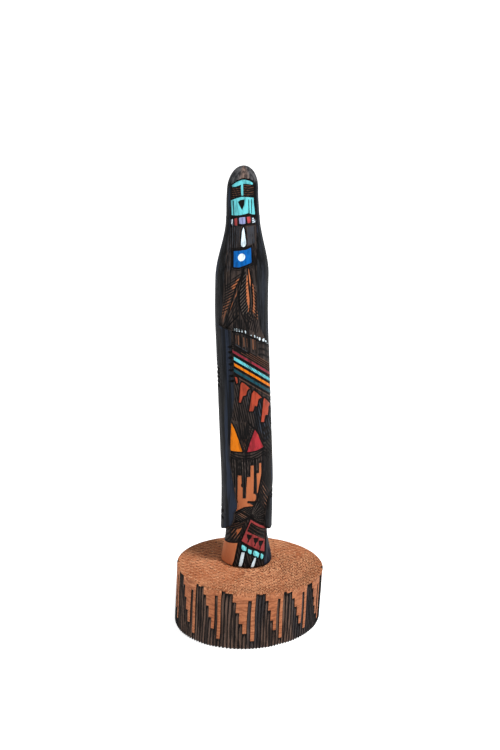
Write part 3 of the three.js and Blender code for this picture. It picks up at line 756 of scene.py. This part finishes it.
def draw_wings(c):
    """Amber and crimson triangles with a fan of lines between them, and three curved bands below."""
    focus = (-0.9, 114.2)
    amber = [(-8.6, 131.6), (-6.4, 127.0), (-4.5, 121.0), (-2.3, 113.2), (-9.3, 112.9), (-9.7, 117.5),
             (-9.2, 125)]
    crimson = [(5.7, 126.8), (7.6, 123.4), (8.3, 120.4), (10.4, 114.6), (6.4, 113.4), (0.5, 112.9),
               (2.7, 119.6)]
    for tip in ((-5.4, 130.6), (-3.9, 131.2), (-2.3, 131.6), (-0.7, 131.8), (0.8, 131.6), (2.3, 130.4),
                (3.8, 128.4)):
        c.groove([tip, focus], 0.5, 0.4)
    for u, z in ((-4.6, 129.0), (-1.5, 130.0), (1.5, 129.6)):
        start = (0.45 * u + 0.55 * focus[0], 0.45 * z + 0.55 * focus[1])
        c.paint("rust", c.stroke([start, focus], 0.25))
    c.groove([(1.3, 132.4), (6.5, 125.9), (11.0, 117.9)], 1.2, 0.6)
    c.hatch([(1.8, 132.2), (6.2, 127.2), (5.5, 124), (3.0, 121.0), (0.8, 126)], -0.95, 1.2, 0.5)
    c.block("amber", amber, 0.9)
    c.block("crimson", crimson, 0.9)
    c.paint("vermilion", [(6.9, 124.2), (7.8, 122.2), (7.3, 121.8), (6.8, 123)])
    c.hatch([(8.8, 131), (15.9, 124), (15.9, 110), (12.4, 104), (10.6, 113), (11.4, 118)], -1.0, 1.5, 0.75,
            bend=0.01)
    c.paint("char_and_shade", c.patch([(9.8, 110), (12.6, 112), (15.9, 115), (15.9, 96), (9.8, 96)]) * 0.12 - 0.1,
            False)
    c.paint("navy", c.patch([(10.4, 104), (15.9, 104), (15.9, 84), (12.4, 84)]) * 0.3, False)
    for low in (0.0, 1.7, 3.3):
        band = [(-9.9, 112.0 - low * 0.9), (-5.5, 110.8 - low), (-1.4, 110.3 - low), (3.5, 110.7 - low),
                (7.5, 112.0 - low), (10.5, 113.4 - low), (12.6, 112.0 - low * 1.4)]
        c.groove(band, 0.8, 0.5)


def draw_fringe(c):
    """Long burned bars ending in steps over bare wood."""
    bare = [(-5.6, 97.6), (-3.5, 97.6), (-3.4, 90), (-2.8, 90), (-2.8, 82.7), (-0.7, 82.7), (-0.5, 90),
            (0, 96.8), (2.1, 96.8), (2.4, 104), (4.2, 104), (4.0, 95), (3.7, 85.6), (4.6, 85.3), (5.3, 84.3),
            (5.4, 82.2), (4.6, 80.4), (0.2, 80.9), (0.1, 79.4), (1.6, 79.2), (4.2, 77.2), (1.5, 77.3),
            (-1.5, 76.9), (-4, 75.6), (-7.1, 73.2), (-6.7, 76.5), (-6.1, 82), (-5.8, 90)]
    sliver = [(5.8, 98.6), (7.3, 98.6), (7.5, 104.8), (8.7, 104.8), (8.6, 98.5), (7.5, 91.8), (6.7, 86),
              (5.8, 85.6), (5.9, 91)]
    thin = [(-8.2, 89.0), (-7.3, 89.4), (-7.0, 80), (-7.3, 77.0), (-7.8, 82)]
    for wood in (bare, sliver):
        c.paint("bare", wood)
    c.paint("rust", thin)
    bars = [(-9.9, 99.5), (-9.0, 98.5), (-7.7, 90.2), (-6.3, 79.0), (-4.6, 98.0), (-3.3, 90.4), (-1.8, 83.0),
            (1.5, 97.2), (3.4, 104.4), (4.7, 86.2), (6.8, 99.0), (8.2, 105.2), (-5.4, 96), (-0.4, 90),
            (2.6, 99), (5.5, 96)]
    grooves = np.maximum.reduce([c.stroke([(u, 108.5), (u, end + 0.5)], 0.8) for u, end in bars])
    c.paint("char_and_shade", np.minimum(grooves, -np.maximum(c.patch(bare), c.patch(sliver)) - 0.05))
    c.sink(grooves, 0.5, 0.4)
    for u in (-8.35, -7.0, -5.0, -4.0, -2.55, -1.1, 0.55, 2.05, 3.0, 4.05, 6.15, 7.5):
        c.paint("ash", c.stroke([(u, 107.6), (u, 99.5 + 3 * math.sin(7 * u))], 0.2))
    c.sink(bare, 0.12, 0.5)
    for end in ((-9.0, 98.8), (-7.7, 90.6), (-6.3, 79.4), (-4.5, 98.2), (-3.2, 90.8), (-1.8, 83.6),
                (1.3, 97.6), (3.3, 104.8), (4.7, 86.0), (6.6, 99.2), (8.1, 105.4)):
        c.groove([end, (end[0], end[1] + 1.0)], 1.15, 0.6)


def draw_lower_wing(c):
    """Folded wing below the fringe: a leaf of barbs at the left, a fan at the right, and a side of bare
    slanting strokes."""
    leaf = [(-8.6, 69.5), (-6.0, 73.0), (-3.0, 75.5), (0, 76.6), (3.9, 77.0), (2.6, 74.4), (1.8, 69.6),
            (-3.0, 66.0), (-7.6, 66.0)]
    fan = [(2.7, 76.6), (7.0, 80.5), (9.0, 74.6), (12.8, 69.7), (12.8, 61), (7.0, 65.2), (1.9, 69.6)]
    side = [(7.6, 93.5), (9.6, 99.5), (14.5, 97), (15.3, 80), (13.6, 68.4), (9.0, 73.4), (7.4, 80.5)]
    for part in (leaf, fan, side):
        c.paint("char_and_shade", part)
        c.sink(part, 0.15, 0.5)
    c.paint("char_and_shade", [(-9.4, 66.6), (-3.4, 66.9), (1.8, 69.6), (-1.4, 65.4), (-2.9, 63.2), (-6.0, 61.4),
                     (-10.6, 61.4)])
    c.hatch([(-9.4, 66.2), (-3.4, 66.2), (0.2, 68.0), (-2.6, 64.0), (-6.0, 61.8), (-9.8, 61.8)], 0.5, 1.3,
            0.22, "rust", 0, 0.4)
    c.hatch(leaf, -0.62, 1.1, 0.3, "ash", 0, 0.68, 0.02)
    c.hatch([(-5.6, 71.4), (-1.8, 74.0), (1.2, 71.2), (-1.6, 68.8)], -0.62, 1.1, 0.32, "tan", 0, 0.68, 0.02)
    for far in ((4.6, 78.2), (6.2, 79.4), (7.6, 78.2), (8.8, 75.6), (10.2, 73.2), (11.6, 71.4), (12.8, 69.6),
                (12.8, 67.0), (12.8, 64.2), (12.4, 62.0)):
        near = (2.6 + 0.22 * (far[0] - 2.6), 69.8 + 0.22 * (far[1] - 69.8))
        c.paint("ash", c.stroke([near, far], 0.24))
    c.hatch([(8.2, 93), (10.4, 94), (13.6, 84), (14.0, 72), (12.6, 69.5), (9.2, 75), (8.0, 84)], -1.15, 1.25,
            0.24, "rust", 0, 0.3)
    c.hatch([(9.4, 90.0), (10.4, 89.2), (12.4, 82), (13.2, 74), (12.6, 70.8), (10.0, 80)], -1.15, 1.25, 0.28,
            "tan", 0, 0.3)
    c.groove([(-8.4, 70.6), (-5.2, 73.9), (-2.0, 76.4), (1.4, 76.9), (4.2, 76.8)], 0.8)
    c.groove([(4.2, 76.8), (6.0, 80.4), (6.6, 84.6), (7.8, 91.5), (9.2, 98.0), (9.4, 106)], 1.0)
    c.groove([(4.9, 79.9), (0.6, 80.3)], 1.3, 0.4)
    c.groove([(-5.5, 74.2), (-1.0, 71.4), (2.0, 69.5), (6.0, 66.4), (12.4, 60.4)], 0.9)
    c.groove([(-8.8, 66.4), (-3.4, 66.8), (1.8, 69.6)], 0.9)


def draw_skirt(c):
    """Red panel with a ribbed block and three wedges, turquoise blocks, white bars, and bare wood at the left,
    the foot's wood painted lighter as painted light."""
    apron = [(-4.7, 53.6), (-2.9, 63.6), (1.6, 69.4), (12.4, 60.6), (11.4, 34), (-9.4, 34)]
    c.hatch(apron, UPRIGHT + 0.2, 1.5, 0.7, start=0.3)
    corner = [(-13.4, 60.5), (-9.5, 61.5), (-6, 61.2), (-2.9, 63.0), (-3.2, 54.0), (-5.2, 53.4),
              (-12.6, 51.6), (-15.2, 51.6)]
    c.hatch(corner, 1.05, 1.5, 0.7)
    c.hatch([(-9.5, 60.6), (-3.4, 62.4), (-4.2, 55.4), (-9.0, 54.6)], 1.05, 1.5, 0.42, "rust", 0, 0.75)
    c.paint("bare", [(-6.3, 60.6), (-3.0, 62.6), (-4.3, 59.6), (-5.8, 57.2)])
    foot = [(-17, 48.8), (-12.5, 50.4), (-9.0, 51.4), (-5.2, 52.4), (-7.3, 41.5), (-9.3, 33), (-17, 33)]
    # Painted light: the foot's bare wood in a lighter tone
    c.paint("painted_light_wood", foot)
    c.groove([(-15.6, 49.2), (-12.5, 50.9), (-9.0, 51.9), (-5.0, 53.0)], 0.9, 0.4)
    c.groove([(-4.7, 53.6), (-7.1, 42.0), (-9.0, 33.6)], 1.0)
    red = [(2.4, 68.1), (6.5, 64.6), (11.9, 59.8), (11.4, 52), (11.1, 44.6), (4.0, 49.4), (-3.0, 53.8),
           (-0.2, 61)]
    c.block("brick", red, 0.8)
    ribs = [(2.6, 66.2), (11.5, 58.6), (11.3, 51.9), (6.0, 56.4), (0.3, 60.3)]
    c.paint("rust", ribs)
    c.paint("char_and_shade", ribs)
    c.sink(ribs, 0.25)
    c.sink(np.minimum(c.patch(ribs), c.stripes(-0.74, 1.75, 0.8)), 0.5, 0.4)
    c.paint("ash", np.minimum(c.patch(ribs) - 0.3, c.stripes(-0.74, 1.75, 0.2, 0.87)))
    for u, z, size in ((1.75, 56.9, 1.0), (5.9, 54.0, 1.0), (9.1, 51.2, 0.9)):
        head = [(u - 1.6 * size, z + 1.5), (u + 1.7 * size, z + 0.2), (u + 1.1 * size, z - 1.6),
                (u - 0.2, z - 2.8), (u - 1.3, z - 1.4)]
        c.paint("char_and_shade", head)
        c.sink(head, 0.55)
        c.groove([(u - 0.4, z - 2.2), (u - 0.8, z - 3.8)], 0.8, 0.3)
    blocks = [
        [(-2.9, 51.9), (0.3, 50.0), (0.1, 47.8), (-0.7, 47.2), (-2.2, 47.6), (-3.2, 49.2)],
        [(0.9, 49.4), (1.7, 48.7), (3.6, 47.8), (3.2, 45.4), (2.4, 45.2), (0.8, 46.6), (0.7, 48.2)],
        [(4.4, 47.6), (6.2, 46.9), (8.2, 44.9), (7.6, 42.6), (6.8, 42.3), (4.4, 44.2), (3.9, 45.6)],
        [(8.8, 44.8), (9.6, 44.3), (10.7, 42.9), (10.2, 40.6), (9.2, 40.6), (8.4, 42.0)]]
    for block in blocks:
        shape = c.patch(block)
        c.paint("char_and_shade", np.where(shape > -REACH, 0.7 + shape, -REACH))
        c.paint("aqua", shape - 0.15)
    c.block("white", [(-3.0, 46.7), (-1.0, 46.7), (-1.6, 43.5), (-3.1, 36.4), (-5.1, 36.2), (-4.2, 41.5)],
            0.9)
    c.block("white", [(4.9, 42.9), (5.9, 42.7), (5.6, 40.5), (4.4, 35.6), (2.4, 35.7), (3.4, 39.6)], 0.9)
    c.paint("navy", [(11.6, 47), (15, 50), (17, 45), (17, 33), (10.4, 33), (11.0, 40.2)])
    c.paint("slate", c.stroke([(12.9, 60), (13.0, 52), (12.2, 38)], 1.3))
    # Painted shade: a black band round the foot's lowest half millimetre, where it meets the disc
    c.paint("char_and_shade", np.where(c.z < 38, 35.5 - c.z, -REACH))


# Figure: the mesh

# Columns of the grid: over the opening, at turns in degrees past each lip, and over the right, back and left
WINDOW = 84
LIP = (0.6, 1.6, 3.2)
AROUND = (11, 16, 17)

# Marks on the mantle: bands round the back, by their height at the left and right and their width; notches
# beside the opening, by height and turn; flat notches at the left and right; and lines at the crown
BACK_BANDS = ((166, 157, 1.1), (162.5, 153, 1.1), (159, 149, 1.1), (155.5, 145, 1.1), (73, 94, 1.0),
              (69.5, 81, 1.0))
EDGE_NOTCHES = ((179.4, -0.46), (176.2, -0.46), (172.7, -0.46), (168.7, -0.45), (165.0, -0.45),
                (161.4, -0.44), (158.2, -0.44))
LEFT_NOTCHES = (163.5, 160.8, 158.0, 155.4, 152.6, 71.6, 66.8)
RIGHT_NOTCHES = (163.5, 96.0, 84.0, 80.0)
CROWN_LINES = ((277.6, -0.11, 0.5), (277.8, 0.12, 0.5), (277.2, 0.5, 0.35), (277, -0.55, 0.35))


def figure_heights():
    """Heights of the rows: skirt, rounded hem, body and head, brim, and the dome, closer towards its top."""
    skirt = np.linspace(FOOT_Z, HEM_Z - 0.02, 74)
    hem = np.linspace(HEM_Z, 67, 42)
    body = np.linspace(67, 273, 545)[1:]
    brim = np.linspace(273, 280, 30)[1:]
    dome = 280 + 4.3 * np.sin(np.linspace(0, 1.45, 20)[1:])
    return np.concatenate([skirt, hem, body, brim, dome])


def figure_columns(z):
    """Turn of each column at each height, a row for each height: spread over the opening between the
    mantle's edges, close together round both lips, then over the right side, the back and the left side.
    Also which columns lie in the opening."""
    left, right = edge_turn(LEFT_EDGE, z)[:, None], edge_turn(RIGHT_EDGE, z)[:, None]
    share = np.linspace(0, 1, WINDOW)
    even = left + (right - left) * share
    flat = np.arcsin(np.clip(np.sin(left) + (np.sin(right) - np.sin(left)) * share, -1, 1))
    lips = np.radians(LIP)
    corners = (right + lips[-1], np.maximum(right + lips[-1] + 0.1, 1.9), 4.4, left + 2 * math.pi - lips[-1])
    spans = zip(corners, corners[1:], AROUND)
    sides = [a + (b - a) * np.linspace(0, 1, n + 1)[1:][None, :] for a, b, n in spans]
    columns = [0.5 * even + 0.5 * flat, right + lips, *sides, left + 2 * math.pi - lips[::-1][1:]]
    turn = np.concatenate([np.broadcast_to(part, (len(z), part.shape[1])) for part in columns], 1)
    return turn, np.arange(turn.shape[1]) < WINDOW


def mark_mantle(turn, swing, z, outer):
    """Burned marks of the mantle, as a distance, and how deep it is cut: bands that slant round the back,
    notches beside the opening and at both sides, gouge marks all over, and short lines at the crown."""
    char_and_shade = np.full(z.shape, -REACH)
    reach = TRUNK_RADIUS + 2
    share = (outer * np.sin(turn) + reach) / (2 * reach)
    for left, right, width in BACK_BANDS:
        line = width / 2 - np.abs(z - left - (right - left) * share)
        char_and_shade = np.maximum(char_and_shade, np.where(np.cos(turn) < 0.28, line, -REACH))
    for height, turned in EDGE_NOTCHES:
        char_and_shade = np.maximum(char_and_shade, 0.95 - np.hypot(z - height, (swing - turned) * outer * 0.5))
    for heights, side in ((LEFT_NOTCHES, -math.pi / 2), (RIGHT_NOTCHES, math.pi / 2)):
        flat = 1.7 - outer * (1 - np.cos(swing - side))
        flat = np.where(np.abs(swing - side) < 1, flat, -REACH)
        for height in heights:
            char_and_shade = np.maximum(char_and_shade, np.minimum(flat, 0.9 - np.abs(z - height)))
    gouged = 0.16 + 0.05 * rough(turn * 9, z / 26, 3) + 0.035 * rough(turn * 24, z / 12, 5)
    cut = gouged + 1.3 * smooth(char_and_shade, 0, 0.5)
    for height, turned, width in CROWN_LINES:
        line = width / 2 - np.hypot(np.maximum(np.abs(z - height) - 3.4, 0), (swing - turned) * 8)
        char_and_shade = np.maximum(char_and_shade, np.where(z > 276, line - 0.1 * (z - 278), -REACH))
    return char_and_shade, cut


def blue_stain_and_lip_highlight(turn, z, left_in, right_in):
    """Blue in the mantle's stain: strips beside both edges of the opening and soft patches elsewhere, with a
    thin painted highlight along the hood's lips. It is given by how far round a place lies from the left and
    right edge."""
    middle = np.interp(z, (57, 100, 104, 190, 193, 230), (0.19, 0.19, 0.2, 0.24, 0.62, 0.6))
    fall = np.interp(z, (96, 106), (2.9, 4.4))
    left = np.where(left_in < 1.4, 0.6 - fall * np.abs(left_in - middle), -0.5)
    broken = 2 * smooth(z, 150, 180) * smooth(-z, -185, -170)
    right = 0.12 - 1.6 * np.abs(right_in - 0.35) - broken
    # Painted highlight: a thin blue strip along both lips of the hood
    hood = 0.7 - 12 * np.abs(np.minimum(left_in, right_in) - 0.08)
    hood = np.where((z > 246) & (z < 273), hood, -1)
    patches = 0.8 * smooth(rough(turn * 3, z / 40, 8), 0.1, 1.2) - 0.7
    return np.where(z > 274, -1.0, np.maximum.reduce([left, right, hood, patches]))


def make_figure():
    """Figure: rows of heights by columns of turns. The opening lies at the panel's radius, less what is cut,
    and the rest at the mantle's; below the hem all is skirt, whose lowest rows settle onto the disc's
    slope."""
    z = figure_heights()
    turn, opening = figure_columns(z)
    left_in = edge_turn(LEFT_EDGE, z)[:, None] + 2 * math.pi - turn
    right_in = turn - edge_turn(RIGHT_EDGE, z)[:, None]
    z = np.repeat(z[:, None], turn.shape[1], 1)
    swing = (turn + math.pi) % (2 * math.pi) - math.pi
    front = np.cos(turn) > -0.2
    hood_front = opening[None, :] & (z > 270)
    panel = panel_radius(turn, z)
    outer = outer_radius(z)
    under_brim = smooth(np.interp(outer * np.sin(turn), BRIM[:, 0], BRIM[:, 1]) - z, -0.2, 0.3)
    live = (opening[None, :] & (under_brim > 0.5)) | (z < HEM_Z)

    c = Carving(panel * np.sin(turn), z, live & front)
    for draw in (draw_face, draw_collar, draw_chest, draw_feathers, draw_beads, draw_sash, draw_drops,
                 draw_wings, draw_fringe, draw_lower_wing, draw_skirt):
        draw(c)
    # Painted shadow: a black band under the hood's brim, wider towards its ends, laid with the burned lines
    brim_shadow = 0.5 + 0.08 * np.abs(c.u) - np.abs(np.interp(c.u, BRIM[:, 0], BRIM[:, 1]) - 0.35 - z)
    c.paint("char_and_shade", np.where(hood_front, brim_shadow, -REACH))
    mantle_char, mantle_cut = mark_mantle(turn, swing, z, outer)

    rounding = np.zeros(z.shape)
    for step, drop in enumerate(LIP_DROPS):
        rounding[:, WINDOW + step] = drop
        rounding[:, -1 - step] = drop
    blend = np.where(hood_front, under_brim, np.where(live, 1.0, 0.0))
    radius = (panel - c.cut) * blend + (outer - mantle_cut - rounding) * (1 - blend)
    gouged = np.where(front, 0, 0.05 * (1 + rough(turn * 9, z / 26, 3)))
    radius = np.where(z < HEM_Z, panel - c.cut - gouged, radius)
    radius -= rounded(z, FOOT_Z, FOOT_ROUND)

    x = axis_x(z) + radius * np.sin(turn)
    y = SETBACK - radius * np.cos(turn)
    seat = top_z(x, y) + SEAT_GAP
    height = np.where(z < LEVEL_Z, seat + (z - FOOT_Z) / (LEVEL_Z - FOOT_Z) * (LEVEL_Z - seat), z)

    mantle = ~live
    fields = dict(c.fields)
    fields["char_and_shade"] = np.where(mantle, mantle_char, fields["char_and_shade"])
    fields["navy"] = np.where(mantle, blue_stain_and_lip_highlight(turn, z, left_in, right_in), fields["navy"])
    # Painted light: the lighter wood also goes round the skirt's back left
    fields["painted_light_wood"] = np.where((z < HEM_Z) & ~front & (turn > 3.9), 49.0 - z, fields["painted_light_wood"])
    fields["mantle"] = np.where(mantle, 1.0, -1.0)
    fields["crown"] = mantle * smooth(z, 273.5, 278) * (0.3 + 0.7 * np.exp(-((swing - 0.1) / 0.42) ** 2))
    fields = {name: np.append(values, (values.flat[0], values.flat[-1])) for name, values in fields.items()}

    rows, cols = z.shape
    last = (rows - 1) * cols
    underside = (axis_x(FOOT_Z), SETBACK, top_z(axis_x(FOOT_Z), SETBACK) + SEAT_GAP)
    crown = (axis_x(FIGURE_TOP), SETBACK, height[-1].max() + 0.01)
    points = np.concatenate([np.stack([x, y, height], -1).reshape(-1, 3), [underside, crown]])
    faces = grid_faces(rows, cols)
    faces += [[rows * cols, (k + 1) % cols, k] for k in range(cols)]
    faces += [[rows * cols + 1, last + k, last + (k + 1) % cols] for k in range(cols)]
    return make_object("carved_figure", points, faces, fields, painted_wood())


# Disc

def turn_at(place):
    """Turn round the disc of a place counted in flutes."""
    units = len(UNIT_DRIFT)
    knots = np.arange(0, units + 1)
    turns = FIRST_UNIT_TURN + knots * 360 / units + UNIT_DRIFT[knots % units]
    return np.radians(np.interp(place, knots * len(FLUTE_TOPS), turns))


# Columns over one flute, rows of the side, and the top's rings: from and to a radius, and how many
STEPS = np.array([0.03, 0.15, 0.3, 0.5, 0.7, 0.85, 0.97])
SIDE_ROWS = 44
TOP_RINGS = ((44.85, 36.0, 24), (36.0, 20.0, 40), (20.0, 0.6, 36))

# Turns at which the rim is burned
RIM_BURNS = (1.52, 4.68)


def disc_side(place, turn):
    """Side: rows of heights by the columns. Each flute is a rounded valley up to its own share of the side,
    cut a little wavy and to its own depth, with shallow scars beside it."""
    number = place.astype(int)
    share = (FLUTE_TOPS[number % len(FLUTE_TOPS)] + 0.02 * np.sin(number * 12.9898)).clip(0, 1.0)
    side = np.linspace(0, 1, SIDE_ROWS)[:, None]
    rim_x = BASE_HEIGHT * BASE_LEAN + BASE_RADIUS * np.sin(turn)
    rim = top_z(rim_x, -BASE_RADIUS * np.cos(turn)) - RIM_BEVEL
    z = side * rim
    below = share * rim - z
    valley = 1 - np.abs(2 * (place % 1) - 1) ** 1.6
    depth = (FLUTE_DEPTH + 0.15 * np.sin(number * 7.3)) * valley * smooth(below, -0.1, 1.0)
    scar = 0.05 * rough(np.repeat(turn[None, :] * 60, SIDE_ROWS, 0), z / 6, 11)
    bent = turn + 0.0045 * np.sin(z / 6 + 1.9 * np.sin(number * 0.35)) * smooth(rim - z, 0, 4)
    radius = BASE_RADIUS - 0.03 - depth + scar.clip(-0.15, 0.03) * (below > 0)
    z = z + (0.5 + 0.3 * np.sin(number * 5.7)) * valley * (1 - smooth(z, 0, 2))
    radius = radius - 0.35 * (1 - smooth(z, 0, 0.6))
    x = z * BASE_LEAN + radius * np.sin(bent)
    y = -radius * np.cos(bent)
    fields = {
        "burn": below.clip(-3, 3),
        "groove": valley * (below > 0),
        "end": 1 - smooth(below, 0.8, 3.0 + np.sin(number * 5.1)),
        "top": 0.75 * smooth(z - rim, -5, 0),
        "pit": rough(x * 4.4 + y * 3.1, z * 5.2, 17, 3) * (depth == 0)}
    return np.stack([x, y, z], -1).reshape(-1, 3), {key: values.ravel() for key, values in fields.items()}


def disc_ring(radius, turn):
    """Ring of the top: it follows the slope, drops over the bevel at the rim, and is pitted, stippled at the
    front right and streaked across elsewhere."""
    x = BASE_HEIGHT * BASE_LEAN + radius * np.sin(turn)
    y = -radius * np.cos(turn)
    stipple = smooth(0.75 * x - 0.9 * y + 8 * np.sin(x / 9), -16, 18)
    dots = rough(x * 3.6 + 0.8 * np.sin(y * 1.3), y * 4.6, 21, 3)
    streaks = rough(x * 1.1, y * 4.6 + 0.4 * x, 23, 3)
    pit = stipple * dots + (1 - stipple) * streaks
    inward = BASE_RADIUS - radius
    drop = RIM_BEVEL * (1 - smooth(inward, -0.1, RIM_BEVEL))
    z = top_z(x, y) - drop - 0.3 - 0.2 * np.clip(pit, -1.5, 1.5) * (0.5 + 0.5 * stipple)
    turned = np.min([np.abs(turn % (2 * math.pi) - burn) for burn in RIM_BURNS], 0)
    none = np.zeros(x.shape)
    fields = {
        "burn": np.maximum(1.2 - np.hypot(inward, 25 * turned), -3),
        "groove": none,
        "end": none,
        "top": none + 0.75 + 0.25 * smooth(inward, 0, 2),
        "pit": pit * (0.6 + 0.4 * stipple)}
    return np.stack([x, y, z], -1), fields


def thin_out(first, start, cols):
    """Six-sided faces from a ring to one inside it that has a third as many points."""
    k = np.arange(cols)
    a = first + 3 * k
    after = first + (3 * k + 3) % (3 * cols)
    return np.stack([a + 1, a + 2, after, after + 1, start + (k + 1) % cols, start + k], -1).tolist()


def make_disc():
    """Disc: the side, with seven columns a flute, then the top as rings whose column count is divided by
    three twice towards the middle, and one point each in the middle of the top and of the underside."""
    place = (np.arange(len(UNIT_DRIFT) * len(FLUTE_TOPS))[:, None] + STEPS).ravel()
    columns = turn_at(place)
    cols = len(place)
    parts = [disc_side(place, columns)]
    faces = grid_faces(SIDE_ROWS, cols)
    first = (SIDE_ROWS - 1) * cols
    start = SIDE_ROWS * cols
    for number, (outside, inside, rings) in enumerate(TOP_RINGS):
        for radius in np.linspace(outside, inside, rings + 1)[min(number, 1):]:
            parts.append(disc_ring(radius, columns))
            faces += stitch(first, start, len(columns))
            first, start = start, start + len(columns)
        if number < len(TOP_RINGS) - 1:
            columns = columns[1::3]
            parts.append(disc_ring(inside - 0.35, columns))
            faces += thin_out(first, start, len(columns))
            first, start = start, start + len(columns)
    none = np.zeros(2)
    middles = np.stack([parts[-1][0].mean(0), np.zeros(3)])
    parts.append((middles, {"burn": none - 3, "groove": none, "end": none, "top": none + 1, "pit": none}))
    faces += [[first + (k + 1) % len(columns), start, first + k] for k in range(len(columns))]
    faces += [[k, start + 1, (k + 1) % cols] for k in range(cols)]
    points = np.concatenate([place for place, _ in parts])
    fields = {key: np.concatenate([values[key] for _, values in parts]) for key in parts[0][1]}
    return make_object("carved_disc", points, faces, fields, burned_wood())


def stitch(first, start, cols):
    """Quads between two rings of equal count."""
    k = np.arange(cols)
    after = (k + 1) % cols
    return np.stack([first + k, first + after, start + after, start + k], -1).tolist()


figure = make_figure()
disc = make_disc()
for piece, node, slot in ((figure, "figure", "painted_wood"), (disc, "base", "bare_wood")):
    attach(piece, "root")
    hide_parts(node)


def lay_floor():
    """Plain pale floor, larger than the view, with a glow of its own."""
    half = FLOOR_HALF
    mesh = bpy.data.meshes.new("floor")
    corners = [(-half, -half, 0), (half, -half, 0), (half, half, 0), (-half, half, 0)]
    mesh.from_pydata(corners, [], [(0, 1, 2, 3)])
    board = Board("floor")
    tone = (FLOOR_TONE, FLOOR_TONE, FLOOR_TONE, 1)
    surface = board.node("ShaderNodeBsdfPrincipled", {}, Base_Color=tone, Roughness=0.9)
    surface.inputs["Emission Color"].default_value = (1, 1, 1, 1)
    surface.inputs["Emission Strength"].default_value = FLOOR_GLOW
    board.node("ShaderNodeOutputMaterial", {}, Surface=surface.outputs[0])
    mesh.materials.append(board.material)
    floor = bpy.data.objects.new("floor", mesh)
    bpy.context.scene.collection.objects.link(floor)


def add_light(name, place, power, size):
    """Square soft light at a place, aimed at the middle of the figure."""
    data = bpy.data.lights.new(name, "AREA")
    data.energy = power
    data.size = size
    lamp = bpy.data.objects.new(name, data)
    bpy.context.scene.collection.objects.link(lamp)
    place = Vector(place)
    turn = (LIGHTS_AIM - place).to_track_quat("-Z", "Y").to_matrix().to_4x4()
    lamp.matrix_world = Matrix.Translation(place) @ turn


def light_room():
    """Even white light from all round."""
    world = bpy.data.worlds.new("room")
    world.use_nodes = True
    background = world.node_tree.nodes["Background"]
    background.inputs["Color"].default_value = (1, 1, 1, 1)
    background.inputs["Strength"].default_value = ROOM_LIGHT
    bpy.context.scene.world = world


lay_floor()
add_light("key", *KEY_LIGHT)
add_light("fill", *FILL_LIGHT)
light_room()
bpy.context.scene.view_settings.view_transform = "Standard"
